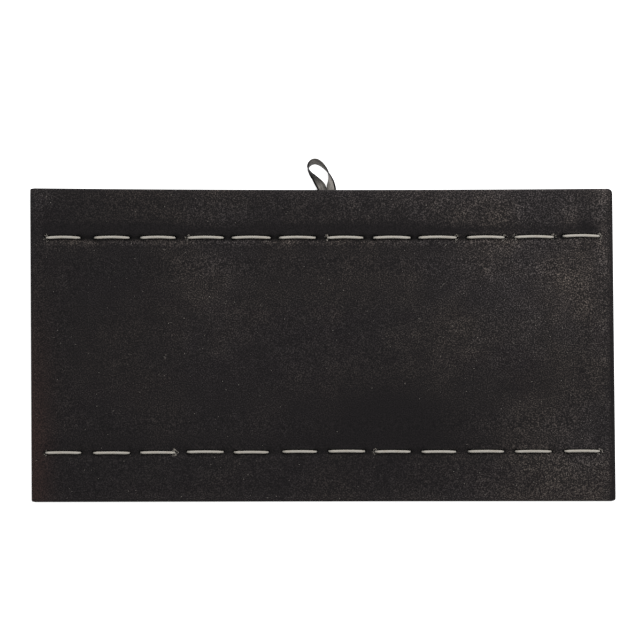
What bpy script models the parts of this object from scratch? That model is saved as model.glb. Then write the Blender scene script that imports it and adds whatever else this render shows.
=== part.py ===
"""Velvet display pad with two rows of elastic cord strands and a ribbon pull loop.

The pad lies on its back: +Z points out of the velvet face, +Y towards the ribbon loop, and the
origin is the centre of the backing card's underside. Everything is in metres.

From the bottom up, the pad is a stiff backing card, the turned-in flaps of the velvet cover, a grey
board, a foam sheet and the velvet face. One elastic cord is laced along each row: down through the
pad, under the board as a short link, and up again, so that twelve strands lie on the face. A knot
under the board stops each end of the cord. The backing card bridges the flaps and leaves a shallow
cavity for the links and knots. Each strand can be lifted off the face to tuck a chain or a strap
under it, so each one is a piece of its own, and so is the loop, which swings on its glued tails.
"""

from math import cos, pi, radians, sin

import bmesh
import bpy
from mathutils import Matrix, Vector

MM = 0.001

# Outside of the finished pad
PAD_WIDTH = 356 * MM
PAD_DEPTH = 190 * MM
CORNER_RADIUS = 2.6 * MM
TOP_EDGE_RADIUS = 2.0 * MM
BACK_EDGE_RADIUS = 0.9 * MM

# Layers, from the back to the face; the glue line keeps neighbouring layers apart
GLUE_LINE = 0.3 * MM
BACKING_THICKNESS = 1.0 * MM
VELVET_THICKNESS = 1.2 * MM
BOARD_THICKNESS = 3.0 * MM
FOAM_THICKNESS = 3.0 * MM
BACKING_INSET = 4.0 * MM
FLAP_WIDTH = 18.0 * MM

FLAP_BOTTOM = BACKING_THICKNESS + GLUE_LINE
FLAP_TOP = FLAP_BOTTOM + VELVET_THICKNESS
BOARD_BOTTOM = FLAP_TOP + GLUE_LINE
BOARD_TOP = BOARD_BOTTOM + BOARD_THICKNESS
FOAM_BOTTOM = BOARD_TOP + GLUE_LINE
FOAM_TOP = FOAM_BOTTOM + FOAM_THICKNESS
FACE_INSIDE = FOAM_TOP + GLUE_LINE
FACE = FACE_INSIDE + VELVET_THICKNESS
CORE_INSET = VELVET_THICKNESS + GLUE_LINE
CORE_CORNER_RADIUS = CORNER_RADIUS - CORE_INSET

# Elastic cord
CORD_RADIUS = 1.0 * MM
CORD_BEND = 1.7 * MM
LINK_BEND = 1.2 * MM
CORD_RINGS_PER_BEND = 3
CORD_BEVEL_STEPS = 2
STRANDS_PER_ROW = 12
STRAND_SPAN = 20.6 * MM
STRAND_PITCH = 28.8 * MM
STRAND_HEIGHT = FACE + GLUE_LINE + CORD_RADIUS
LINK_HEIGHT = BACKING_THICKNESS + 0.35 * MM + CORD_RADIUS
LINK_TOP = LINK_HEIGHT + LINK_BEND
LEG_BOTTOM = LINK_TOP + GLUE_LINE
PUNCH_RADIUS = 1.4 * MM
PUNCH_SIDES = 8
GROOVE_WIDTH = 2.4 * MM
GROOVE_DEPTH = 0.75 * MM
KNOT_RADIUS = 2.3 * MM
KNOT_HEIGHT = 2.1 * MM
KNOT_RECESS_RADIUS = 2.8 * MM
KNOT_RECESS_DEPTH = 0.85 * MM
KNOT_SIDES = 12

# The rows, as laced by hand: where the row runs, how far the middle of a strand bows towards the
# loop's edge, and for each strand how far it strays along the row, how far it sits above or below
# the row, and how much longer or shorter than STRAND_SPAN it is.
ROWS = {
    "top": {
        "y": PAD_DEPTH / 2 - 29.2 * MM,
        "bow": 0.35 * MM,
        "stray_mm": (0.0, 1.0, 0.3, 0.6, -0.3, -0.9, -0.6, -0.8, -1.7, -1.1, -0.3, -0.4),
        "rise_mm": (0.0, 0.0, 0.0, 0.0, 0.0, 0.0, 0.0, 0.0, 0.1, 0.2, 0.4, 1.0),
        "reach_mm": (-1.2, -0.6, -0.8, -0.1, 1.5, 0.2, 0.0, 0.6, 1.1, 0.8, 1.8, 0.5),
    },
    "bottom": {
        "y": -PAD_DEPTH / 2 + 30.2 * MM,
        "bow": 0.15 * MM,
        "stray_mm": (0.5, 1.1, 0.5, 0.6, -0.2, 0.5, 0.4, -0.4, -1.1, -1.2, -1.2, -0.2),
        "rise_mm": (-0.5, -0.6, -0.4, 0.0, -0.2, 0.2, 0.4, 0.2, 0.1, 0.3, 0.3, 0.5),
        "reach_mm": (-0.4, 0.2, -0.8, 0.3, -0.9, -1.2, 0.2, -0.3, -1.2, -0.3, 0.0, -0.4),
    },
}

# Ribbon pull loop. Each station is the middle of the ribbon: x, the distance beyond the pad's top
# edge, the height, and how far the ribbon is turned from lying flat, in degrees.
RIBBON_WIDTH = 6.0 * MM
RIBBON_THICKNESS = 0.4 * MM
RIBBON_HEIGHT = BACKING_THICKNESS + 0.35 * MM
RIBBON_LEFT_X = -0.6 * MM
RIBBON_RIGHT_X = 5.8 * MM
RIBBON_TAIL = 15.0 * MM
RIBBON_RINGS_PER_STATION = 3
HINGE_BEYOND_EDGE = 2.2 * MM
HINGE_GAP = 0.3 * MM
LOOP_STATIONS_MM = (
    (5.8, 2.5, 1.35, 0),
    (5.8, 3.3, 1.5, 8),
    (5.5, 5.2, 2.1, 38),
    (4.9, 7.6, 2.85, 62),
    (3.95, 10.5, 3.15, 88),
    (2.6, 12.6, 3.2, 101),
    (0.95, 14.5, 3.2, 108),
    (-1.3, 16.4, 3.2, 116),
    (-4.3, 17.7, 3.1, 122),
    (-7.0, 16.9, 3.1, 116),
    (-8.5, 14.9, 3.15, 100),
    (-8.7, 13.0, 3.15, 87),
    (-7.3, 10.6, 3.1, 72),
    (-4.2, 7.3, 2.75, 54),
    (-1.6, 4.7, 1.95, 26),
    (-0.75, 3.4, 1.5, 8),
    (-0.6, 2.5, 1.35, 0),
)


# ---------------------------------------------------------------- helpers
def material(name, colour, roughness):
    """A Principled material with the part's colour and roughness."""
    made = bpy.data.materials.new(name)
    made.use_nodes = True
    shader = made.node_tree.nodes["Principled BSDF"]
    shader.inputs["Base Color"].default_value = (*colour, 1)
    shader.inputs["Roughness"].default_value = roughness
    shader.inputs["Metallic"].default_value = 0
    return made


def add_object(name, data, finish=None, cutter=False):
    """Puts the data into the scene as one named object; a cutter is hidden from the render."""
    obj = bpy.data.objects.new(name, data)
    bpy.context.scene.collection.objects.link(obj)
    if finish:
        data.materials.append(finish)
    if cutter:
        obj.hide_render = True
        obj.display_type = "WIRE"
    return obj


def cut(obj, cutter):
    """Takes the cutter's shape out of the object."""
    boolean = obj.modifiers.new(f"Cut {cutter.name}", "BOOLEAN")
    boolean.operation = "DIFFERENCE"
    boolean.solver = "EXACT"
    boolean.object = cutter


def mesh_of_rings(name, rings):
    """A closed mesh through rings of equally many points, with a flat face on each end."""
    bm = bmesh.new()
    loops = [[bm.verts.new(point) for point in ring] for ring in rings]
    for lower, upper in zip(loops, loops[1:]):
        for i, corner in enumerate(lower):
            j = (i + 1) % len(lower)
            bm.faces.new((corner, lower[j], upper[j], upper[i]))
    bm.faces.new(reversed(loops[0]))
    bm.faces.new(loops[-1])
    bmesh.ops.recalc_face_normals(bm, faces=bm.faces)
    mesh = bpy.data.meshes.new(name)
    bm.to_mesh(mesh)
    bm.free()
    return mesh


def rounded_rectangle(width, depth, radius, z, steps=4):
    """The outline of a rectangle with round corners, counter-clockwise, centred on the origin."""
    corners = (
        (width / 2 - radius, depth / 2 - radius, 0),
        (-width / 2 + radius, depth / 2 - radius, pi / 2),
        (-width / 2 + radius, -depth / 2 + radius, pi),
        (width / 2 - radius, -depth / 2 + radius, 3 * pi / 2),
    )
    return [
        (x + radius * cos(start + turn), y + radius * sin(start + turn), z)
        for x, y, start in corners
        for turn in (pi / 2 * step / steps for step in range(steps + 1))
    ]


def slab(name, width, depth, bottom, top, corner, bottom_edge=0.0, top_edge=0.0, steps=3):
    """A flat sheet with round corners, and round edges where an edge radius is given."""
    levels = []
    for step in range(steps + 1) if bottom_edge else (0,):
        turn = pi / 2 * step / steps
        levels.append((bottom_edge * (1 - sin(turn)), bottom + bottom_edge * (1 - cos(turn))))
    for step in range(steps + 1) if top_edge else (0,):
        turn = pi / 2 * step / steps
        levels.append((top_edge * (1 - cos(turn)), top - top_edge * (1 - sin(turn))))
    rings = [
        rounded_rectangle(width - 2 * inset, depth - 2 * inset, corner - inset, z)
        for inset, z in levels
    ]
    return mesh_of_rings(name, rings)


def prism(outline, bottom, top):
    """The two rings of an upright prism."""
    return [[(x, y, z) for x, y in outline] for z in (bottom, top)]


def many_prisms(name, prisms):
    """One mesh that holds several separate upright prisms, for use as a cutter."""
    bm = bmesh.new()
    for lower, upper in prisms:
        below = [bm.verts.new(point) for point in lower]
        above = [bm.verts.new(point) for point in upper]
        for i, corner in enumerate(below):
            j = (i + 1) % len(below)
            bm.faces.new((corner, below[j], above[j], above[i]))
        bm.faces.new(reversed(below))
        bm.faces.new(above)
    bmesh.ops.recalc_face_normals(bm, faces=bm.faces)
    mesh = bpy.data.meshes.new(name)
    bm.to_mesh(mesh)
    bm.free()
    return mesh


def circle(x, y, radius, sides=PUNCH_SIDES):
    """The corners of a regular polygon whose flats face along X and Y."""
    turns = (2 * pi * (i + 0.5) / sides for i in range(sides))
    return [(x + radius * cos(turn), y + radius * sin(turn)) for turn in turns]


def rectangle(x0, x1, y0, y1):
    return [(x0, y0), (x1, y0), (x1, y1), (x0, y1)]


def cord(name, points, finish):
    """A round cord along the points, as a curve with a bevel and flat ends."""
    curve = bpy.data.curves.new(name, "CURVE")
    curve.dimensions = "3D"
    curve.bevel_depth = CORD_RADIUS
    curve.bevel_resolution = CORD_BEVEL_STEPS
    curve.use_fill_caps = True
    spline = curve.splines.new("POLY")
    spline.points.add(len(points) - 1)
    for target, point in zip(spline.points, points):
        target.co = (*point, 1)
    spline.use_smooth = True
    return add_object(name, curve, finish)


def smooth_through(points, steps):
    """Points on a Catmull-Rom curve through the given ones, which may have any number of values."""
    ends = [Vector(p) for p in points]
    ends = [2 * ends[0] - ends[1], *ends, 2 * ends[-1] - ends[-2]]
    found = []
    for a, b, c, d in zip(ends, ends[1:], ends[2:], ends[3:]):
        for step in range(steps):
            t = step / steps
            found.append(
                0.5 * (2 * b + (c - a) * t + (2 * a - 5 * b + 4 * c - d) * t**2
                       + (3 * b - 3 * c + d - a) * t**3)
            )
    return [*found, ends[-2]]


# ---------------------------------------------------------------- the lacing pattern
def row_holes(row):
    """The two hole centres, left and right, of each strand in a row."""
    holes = []
    strands = zip(row["stray_mm"], row["rise_mm"], row["reach_mm"])
    for i, (stray, rise, reach) in enumerate(strands):
        middle = (i - (STRANDS_PER_ROW - 1) / 2) * STRAND_PITCH + stray * MM
        half = (STRAND_SPAN + reach * MM) / 2
        y = row["y"] + rise * MM
        holes.append((Vector((middle - half, y)), Vector((middle + half, y))))
    return holes


def row_ends(all_holes):
    """The outermost hole at each end of each row, where the cord is knotted."""
    return [end for holes in all_holes.values() for end in (holes[0][0], holes[-1][1])]


def bend(centre, radius, start_degrees, end_degrees):
    """Points round a bend in the XZ plane, without its first one."""
    turns = (
        radians(start_degrees + (end_degrees - start_degrees) * step / CORD_RINGS_PER_BEND)
        for step in range(1, CORD_RINGS_PER_BEND + 1)
    )
    x, y, z = centre
    return [(x + radius * cos(turn), y, z + radius * sin(turn)) for turn in turns]


def strand_route(left, right, bow):
    """Up through the left hole, across the face in a slight bow, and down the right hole."""
    arc_height = STRAND_HEIGHT - CORD_BEND
    first = left.x + CORD_BEND
    last = right.x - CORD_BEND
    across = [
        (first + (last - first) * t, left.y + bow * sin(pi * t), STRAND_HEIGHT)
        for t in (0.25, 0.5, 0.75)
    ]
    return [
        (left.x, left.y, LEG_BOTTOM),
        (left.x, left.y, arc_height),
        *bend((first, left.y, arc_height), CORD_BEND, 180, 90),
        *across,
        (last, right.y, STRAND_HEIGHT),
        *bend((last, right.y, arc_height), CORD_BEND, 90, 0),
        (right.x, right.y, LEG_BOTTOM),
    ]


def link_route(left, right):
    """Down out of one strand's hole, along under the board and up into the next strand's hole."""
    slope = (right.y - left.y) / (right.x - left.x)
    points = [
        (left.x, left.y, LINK_TOP),
        *bend((left.x + LINK_BEND, left.y, LINK_TOP), LINK_BEND, 180, 270),
        (right.x - LINK_BEND, right.y, LINK_HEIGHT),
        *bend((right.x - LINK_BEND, right.y, LINK_TOP), LINK_BEND, 270, 360),
    ]
    return [(x, left.y + slope * (x - left.x), z) for x, _, z in points]


# ---------------------------------------------------------------- the layers
def build_backing_card(finish):
    """The stiff card that closes the back; the pad rests on it."""
    mesh = slab(
        "backing_card",
        PAD_WIDTH - 2 * BACKING_INSET,
        PAD_DEPTH - 2 * BACKING_INSET,
        0,
        BACKING_THICKNESS,
        CORNER_RADIUS,
    )
    return add_object("backing_card", mesh, finish)


def build_core_layer(name, bottom, top, finish, top_edge=0.0):
    """One of the two sheets inside the cover."""
    mesh = slab(
        name,
        PAD_WIDTH - 2 * CORE_INSET,
        PAD_DEPTH - 2 * CORE_INSET,
        bottom,
        top,
        CORE_CORNER_RADIUS,
        top_edge=top_edge,
    )
    return add_object(name, mesh, finish)


def build_velvet_cover(finish, all_holes):
    """Face, four walls and the flaps that are turned in under the board, as one skin."""
    outside = slab(
        "velvet_cover",
        PAD_WIDTH,
        PAD_DEPTH,
        FLAP_BOTTOM,
        FACE,
        CORNER_RADIUS,
        bottom_edge=BACK_EDGE_RADIUS,
        top_edge=TOP_EDGE_RADIUS,
    )
    cover = add_object("velvet_cover", outside, finish)
    inside = slab(
        "core_space",
        PAD_WIDTH - 2 * VELVET_THICKNESS,
        PAD_DEPTH - 2 * VELVET_THICKNESS,
        FLAP_TOP,
        FACE_INSIDE,
        CORNER_RADIUS - VELVET_THICKNESS,
        top_edge=TOP_EDGE_RADIUS - VELVET_THICKNESS,
    )
    cut(cover, add_object("core_space", inside, cutter=True))
    opening = rectangle(
        -PAD_WIDTH / 2 + FLAP_WIDTH,
        PAD_WIDTH / 2 - FLAP_WIDTH,
        -PAD_DEPTH / 2 + FLAP_WIDTH,
        PAD_DEPTH / 2 - FLAP_WIDTH,
    )
    pressed_pile = rectangle(
        RIBBON_LEFT_X - RIBBON_WIDTH / 2 - GLUE_LINE,
        RIBBON_RIGHT_X + RIBBON_WIDTH / 2 + GLUE_LINE,
        PAD_DEPTH / 2 - RIBBON_TAIL - 1 * MM,
        PAD_DEPTH / 2 + 1 * MM,
    )
    ribbon_top = RIBBON_HEIGHT + RIBBON_THICKNESS / 2
    below = FLAP_BOTTOM - 1 * MM
    above = FLAP_TOP + 0.2 * MM
    prisms = [
        prism(opening, below, above),
        prism(pressed_pile, below, ribbon_top + GLUE_LINE),
    ]
    for end in row_ends(all_holes):
        prisms.append(prism(circle(end.x, end.y, KNOT_RECESS_RADIUS, KNOT_SIDES), below, above))
    space = many_prisms("flap_space", prisms)
    cut(cover, add_object("flap_space", space, cutter=True))
    return cover


def build_punch_cutter(all_holes):
    """The holes that the cord is laced through, from below the board to above the face."""
    prisms = [
        prism(circle(hole.x, hole.y, PUNCH_RADIUS), BOARD_BOTTOM - 1 * MM, FACE + 1 * MM)
        for holes in all_holes.values()
        for pair in holes
        for hole in pair
    ]
    return add_object("punch_cutter", many_prisms("punch_cutter", prisms), cutter=True)


def build_groove_cutter(all_holes):
    """Grooves that the tight links bite into the board's back, and recesses for the knots."""
    prisms = []
    for holes in all_holes.values():
        for (_, left), (right, _) in zip(holes, holes[1:]):
            y = (left.y + right.y) / 2
            outline = rectangle(left.x, right.x, y - GROOVE_WIDTH / 2, y + GROOVE_WIDTH / 2)
            prisms.append(prism(outline, BOARD_BOTTOM - 1 * MM, BOARD_BOTTOM + GROOVE_DEPTH))
    for end in row_ends(all_holes):
        outline = circle(end.x, end.y, KNOT_RECESS_RADIUS, KNOT_SIDES)
        prisms.append(prism(outline, BOARD_BOTTOM - 1 * MM, BOARD_BOTTOM + KNOT_RECESS_DEPTH))
    return add_object("groove_cutter", many_prisms("groove_cutter", prisms), cutter=True)


# ---------------------------------------------------------------- cord and ribbon
def build_row(row_name, row, holes, finish):
    """The strands, links and end knots of one laced row."""
    for i, (left, right) in enumerate(holes, start=1):
        cord(f"{row_name}_strand_{i:02d}", strand_route(left, right, row["bow"]), finish)
    for i, ((_, left), (right, _)) in enumerate(zip(holes, holes[1:]), start=1):
        cord(f"{row_name}_link_{i:02d}", link_route(left, right), finish)
    build_knot(f"{row_name}_knot_left", holes[0][0], finish)
    build_knot(f"{row_name}_knot_right", holes[-1][1], finish)


def build_knot(name, at, finish):
    """A pulled-tight knot, flattened between the board and the backing card."""
    bottom = LEG_BOTTOM - GLUE_LINE - KNOT_HEIGHT
    rings = []
    for level in (-0.9, -0.5, 0.0, 0.5, 0.9):
        radius = KNOT_RADIUS * (1 - level**4) ** 0.5
        z = bottom + KNOT_HEIGHT * (0.5 + level / 1.8)
        rings.append([(x, y, z) for x, y in circle(at.x, at.y, radius, KNOT_SIDES)])
    knot = add_object(name, mesh_of_rings(name, rings), finish)
    knot.data.shade_smooth()
    return knot


def ribbon_rings(stations):
    """Rectangles across the ribbon at stations of x, y, z and turn in degrees."""
    rings = []
    for i, station in enumerate(stations):
        before = stations[max(i - 1, 0)]
        after = stations[min(i + 1, len(stations) - 1)]
        along = Vector((after[0] - before[0], after[1] - before[1], after[2] - before[2]))
        along.normalize()
        inwards = Vector((-along.y, along.x, 0)).normalized()
        turn = radians(station[3])
        across = cos(turn) * inwards + sin(turn) * Vector((0, 0, 1))
        across = (across - along * across.dot(along)).normalized()
        through = along.cross(across)
        middle = Vector((station[0], station[1], station[2]))
        w = across * RIBBON_WIDTH / 2
        t = through * RIBBON_THICKNESS / 2
        rings.append([middle + w + t, middle - w + t, middle - w - t, middle + w - t])
    return rings


def build_ribbon_loop(finish):
    """The free part of the ribbon, from the hinge line round and back to it."""
    edge = PAD_DEPTH / 2
    stations = [(x * MM, edge + y * MM, z * MM, turn) for x, y, z, turn in LOOP_STATIONS_MM]
    rings = ribbon_rings(smooth_through(stations, RIBBON_RINGS_PER_STATION))
    loop = add_object("ribbon_loop", mesh_of_rings("ribbon_loop", rings), finish)
    pivot = Vector((0, edge + HINGE_BEYOND_EDGE, RIBBON_HEIGHT))
    loop.data.transform(Matrix.Translation(-pivot))
    loop.location = pivot
    return loop


def build_ribbon_tail(name, x, finish):
    """One glued end of the ribbon, between the flap and the backing card."""
    outline = rectangle(
        x - RIBBON_WIDTH / 2,
        x + RIBBON_WIDTH / 2,
        PAD_DEPTH / 2 - RIBBON_TAIL,
        PAD_DEPTH / 2 + HINGE_BEYOND_EDGE - HINGE_GAP,
    )
    z = RIBBON_HEIGHT
    rings = prism(outline, z - RIBBON_THICKNESS / 2, z + RIBBON_THICKNESS / 2)
    return add_object(name, mesh_of_rings(name, rings), finish)


def main():
    for obj in list(bpy.data.objects):
        bpy.data.objects.remove(obj, do_unlink=True)

    velvet = material("velvet", (0.020, 0.018, 0.018), 0.95)
    elastic = material("elastic", (0.45, 0.41, 0.36), 0.6)
    ribbon = material("ribbon", (0.05, 0.045, 0.042), 0.5)
    greyboard = material("greyboard", (0.30, 0.27, 0.23), 0.9)
    foam = material("foam", (0.10, 0.10, 0.10), 0.95)
    card = material("card", (0.012, 0.012, 0.013), 0.8)

    all_holes = {name: row_holes(row) for name, row in ROWS.items()}
    punch = build_punch_cutter(all_holes)
    grooves = build_groove_cutter(all_holes)

    build_backing_card(card)
    board = build_core_layer("base_board", BOARD_BOTTOM, BOARD_TOP, greyboard)
    foam_sheet = build_core_layer("foam_sheet", FOAM_BOTTOM, FOAM_TOP, foam, top_edge=0.6 * MM)
    cover = build_velvet_cover(velvet, all_holes)
    for layer in (board, foam_sheet, cover):
        cut(layer, punch)
    cut(board, grooves)

    for name, row in ROWS.items():
        build_row(name, row, all_holes[name], elastic)

    build_ribbon_tail("ribbon_tail_left", RIBBON_LEFT_X, ribbon)
    build_ribbon_tail("ribbon_tail_right", RIBBON_RIGHT_X, ribbon)
    build_ribbon_loop(ribbon)


main()
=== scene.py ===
"""Looks of a velvet display pad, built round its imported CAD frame.

The pad is a tray liner: black velvet wrapped over foam and board, two rows of elastic cord laced
through punched holes, and a twisted ribbon loop to pull the liner out of its tray. Everything is in
metres, in the CAD's own frame: +Z leaves the velvet face and +Y points at the ribbon loop.
"""

import logging
from dataclasses import dataclass, field
from enum import Enum
from math import cos, pi, radians, sin
from typing import NamedTuple

import bmesh
import bpy
import numpy as np
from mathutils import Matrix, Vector


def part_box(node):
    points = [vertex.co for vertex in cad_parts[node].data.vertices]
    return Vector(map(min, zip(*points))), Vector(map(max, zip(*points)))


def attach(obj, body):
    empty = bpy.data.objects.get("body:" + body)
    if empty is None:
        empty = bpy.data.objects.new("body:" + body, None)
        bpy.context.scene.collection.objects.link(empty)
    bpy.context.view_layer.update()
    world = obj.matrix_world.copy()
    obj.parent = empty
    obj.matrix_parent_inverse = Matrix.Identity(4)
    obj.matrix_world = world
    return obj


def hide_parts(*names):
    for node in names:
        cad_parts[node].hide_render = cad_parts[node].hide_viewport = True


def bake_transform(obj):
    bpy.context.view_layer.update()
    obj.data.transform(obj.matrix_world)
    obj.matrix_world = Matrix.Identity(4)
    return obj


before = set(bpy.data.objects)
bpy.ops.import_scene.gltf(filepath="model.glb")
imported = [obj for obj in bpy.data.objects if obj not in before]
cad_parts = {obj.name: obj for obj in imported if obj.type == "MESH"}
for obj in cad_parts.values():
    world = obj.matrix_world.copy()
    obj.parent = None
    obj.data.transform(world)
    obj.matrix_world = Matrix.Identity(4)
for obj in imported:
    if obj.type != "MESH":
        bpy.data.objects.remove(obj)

LOG = logging.getLogger("display_pad")
MM = 0.001
CLOSE = 1e-7  # Two places nearer than this, in metres, are the same.

Colour = tuple[float, float, float, float]
Point = tuple[float, float, float]
Stretch = tuple[float, float]


class Row(Enum):
    """The two laced rows, by the name that starts their CAD nodes."""

    TOP = "top"
    BOTTOM = "bottom"


class Corner(Enum):
    """The pad's corners, by the signs of their X and Y."""

    TOP_LEFT = (-1, 1)
    TOP_RIGHT = (1, 1)
    BOTTOM_LEFT = (-1, -1)
    BOTTOM_RIGHT = (1, -1)


# ------------------------------------------------------------------------------ shared helpers
def linear(hex_colour: str) -> Colour:
    """Turns an sRGB hex colour to linear light.

    Args:
        hex_colour: Six hex digits after a hash.

    Returns:
        Red, green and blue in linear light, and an alpha of 1.
    """
    values = [int(hex_colour[i : i + 2], 16) / 255 for i in (1, 3, 5)]
    red, green, blue = (
        v / 12.92 if v <= 0.04045 else ((v + 0.055) / 1.055) ** 2.4 for v in values
    )
    return red, green, blue, 1.0


def add_node(
    tree: bpy.types.NodeTree,
    kind: str,
    inputs: dict | None = None,
    out: int | str | None = 0,
    **settings: object,
) -> bpy.types.NodeSocket | None:
    """Adds one node with its settings, its values and its links.

    Args:
        tree: The tree that takes the node.
        kind: Blender's name of the node's type.
        inputs: What goes into each socket, by name or number: a value, or an output to link.
        out: The output that is wanted, by name or number, or None for a node without one.
        **settings: The node's own properties.

    Returns:
        That output of the new node.
    """
    node = tree.nodes.new(kind)
    for name, value in settings.items():
        setattr(node, name, value)
    for key, value in (inputs or {}).items():
        if isinstance(value, bpy.types.NodeSocket):
            tree.links.new(value, node.inputs[key])
        else:
            node.inputs[key].default_value = value
    return None if out is None else node.outputs[out]


def smoothstep(low: float, high: float, value: np.ndarray) -> np.ndarray:
    """A smooth rise from 0 at low to 1 at high.

    Args:
        low: Where the rise starts.
        high: Where it ends.
        value: The numbers to place on it.

    Returns:
        The height of the rise at each number.
    """
    t = np.clip((value - low) / (high - low), 0.0, 1.0)
    return t * t * (3 - 2 * t)


@dataclass(frozen=True)
class Band:
    """A soft band that follows a line, an edge or a hole, strongest in its middle.

    Attributes:
        middle: How far from what it follows its middle is.
        spread: How far from its middle it has fallen to about a third.
        weight: How strong its middle is, or how high it stands.
    """

    middle: float
    spread: float
    weight: float = 1.0

    def at(self, distance: np.ndarray) -> np.ndarray:
        """How strong the band is.

        Args:
            distance: How far each place is from what the band follows.

        Returns:
            The band's strength at each place.
        """
        return self.weight * np.exp(-(((distance - self.middle) / self.spread) ** 2))


def grid_faces(columns: int, lines: int) -> list[tuple[int, int, int, int]]:
    """The faces of a grid whose points are listed line by line.

    Args:
        columns: How many points a line has.
        lines: How many lines there are.

    Returns:
        Each face's four corners, by number.
    """
    return [
        (j * columns + i, j * columns + i + 1, (j + 1) * columns + i + 1, (j + 1) * columns + i)
        for j in range(lines - 1)
        for i in range(columns - 1)
    ]


def redress(name: str, material: bpy.types.Material) -> None:
    """Gives a CAD node another material.

    Args:
        name: The node.
        material: What it is made of.
    """
    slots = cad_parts[name].data.materials
    slots.clear()
    slots.append(material)
    LOG.info("%s: dressed in %s", name, material.name)


def mesh_object(
    name: str, points: list | np.ndarray, edges: list, faces: list, smooth: bool = True
) -> bpy.types.Object:
    """Puts a mesh into the scene.

    Args:
        name: The object's name.
        points: The vertices.
        edges: Loose edges, if any.
        faces: Each face's vertices.
        smooth: Whether the faces are shaded smooth.

    Returns:
        The new object, at the origin.
    """
    mesh = bpy.data.meshes.new(name)
    mesh.from_pydata([tuple(p) for p in points], edges, faces)
    if smooth:
        mesh.shade_smooth()
    obj = bpy.data.objects.new(name, mesh)
    bpy.context.scene.collection.objects.link(obj)
    return obj


def baked(obj: bpy.types.Object) -> bpy.types.Object:
    """Applies an object's modifiers by putting a plain mesh in its place.

    Args:
        obj: The object with live modifiers.

    Returns:
        A new object of the same name, with no modifiers.
    """
    bpy.context.view_layer.update()
    graph = bpy.context.evaluated_depsgraph_get()
    mesh = bpy.data.meshes.new_from_object(obj.evaluated_get(graph))
    name = obj.name
    source = obj.data
    bpy.data.objects.remove(obj)
    if source.users == 0:
        bpy.data.meshes.remove(source)
    mesh.name = name
    plain = bpy.data.objects.new(name, mesh)
    bpy.context.scene.collection.objects.link(plain)
    return plain


# ------------------------------------------------------------------------------ finishes
class Lumps(NamedTuple):
    """One scale of noise.

    Attributes:
        size_mm: The size of its lumps.
        detail: How many finer scales lie on it.
        roughness: How strong those are.
    """

    size_mm: float
    detail: float = 2.0
    roughness: float = 0.5

    def over(self, place: bpy.types.NodeSocket) -> dict[str, object]:
        """What a noise node takes to draw these lumps.

        Args:
            place: The output that says where each spot of the surface is.

        Returns:
            The node's inputs, by name.
        """
        return {
            "Vector": place,
            "Scale": 1 / (self.size_mm * MM),
            "Detail": self.detail,
            "Roughness": self.roughness,
        }


class Span(NamedTuple):
    """A stretch of values, and the stretch that it is spread to.

    Attributes:
        low: The value that gives the least.
        high: The value that gives the most.
        least: What comes out at low.
        most: What comes out at high.
    """

    low: float
    high: float
    least: float = 0.0
    most: float = 1.0

    def of(self, value: bpy.types.NodeSocket) -> dict[str, object]:
        """What a range node takes to spread a value this way.

        Args:
            value: The output that holds the value.

        Returns:
            The node's inputs, by name.
        """
        return {
            "Value": value,
            "From Min": self.low,
            "From Max": self.high,
            "To Min": self.least,
            "To Max": self.most,
        }


class Pattern(NamedTuple):
    """What a finish draws on its surface.

    Attributes:
        base: The hex colour under everything.
        layers: What is laid over it in turn: the share that shows, and a hex colour or an output.
        height: The output that holds its relief.
    """

    base: str
    layers: tuple[tuple[bpy.types.NodeSocket, str | bpy.types.NodeSocket], ...]
    height: bpy.types.NodeSocket


@dataclass(frozen=True)
class Finish:
    """A material's name and the numbers that are the same all over it.

    Attributes:
        name: What the material is and how it was made.
        roughness: How dull its gloss is.
        specular: Principled's specular level.
        sheen: How much light its nap catches at a slant.
        sheen_roughness: How wide that sheen spreads.
        sheen_colour: The sheen's colour.
        relief_mm: How deep its surface is.
        relief_strength: How much of that depth turns the light.
    """

    name: str
    roughness: float
    specular: float = 0.5
    sheen: float = 0.0
    sheen_roughness: float = 0.5
    sheen_colour: str = "#ffffff"
    relief_mm: float = 0.05
    relief_strength: float = 0.7

    def material(self) -> bpy.types.Material:
        """Builds the material.

        Returns:
            The material, with the finish's pattern in its colour and its relief.
        """
        made = bpy.data.materials.new(self.name)
        made.use_nodes = True
        tree = made.node_tree
        tree.nodes.clear()
        base, layers, height = self.pattern(tree)
        tone = linear(base)
        for share, over in layers:
            laid = linear(over) if isinstance(over, str) else over
            tone = add_node(
                tree, "ShaderNodeMix", {0: share, 6: tone, 7: laid}, out=2, data_type="RGBA"
            )
        relief = add_node(
            tree,
            "ShaderNodeBump",
            {"Height": height, "Distance": self.relief_mm * MM, "Strength": self.relief_strength},
        )
        shader = add_node(
            tree,
            "ShaderNodeBsdfPrincipled",
            {
                "Base Color": tone,
                "Normal": relief,
                "Roughness": self.roughness,
                "Specular IOR Level": self.specular,
                "Sheen Weight": self.sheen,
                "Sheen Roughness": self.sheen_roughness,
                "Sheen Tint": linear(self.sheen_colour),
            },
        )
        add_node(tree, "ShaderNodeOutputMaterial", {"Surface": shader}, out=None)
        return made

    def pattern(self, tree: bpy.types.NodeTree) -> Pattern:
        """Draws the finish's pattern.

        Args:
            tree: The material's tree.

        Returns:
            Its colours and its relief.
        """
        raise NotImplementedError


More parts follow.
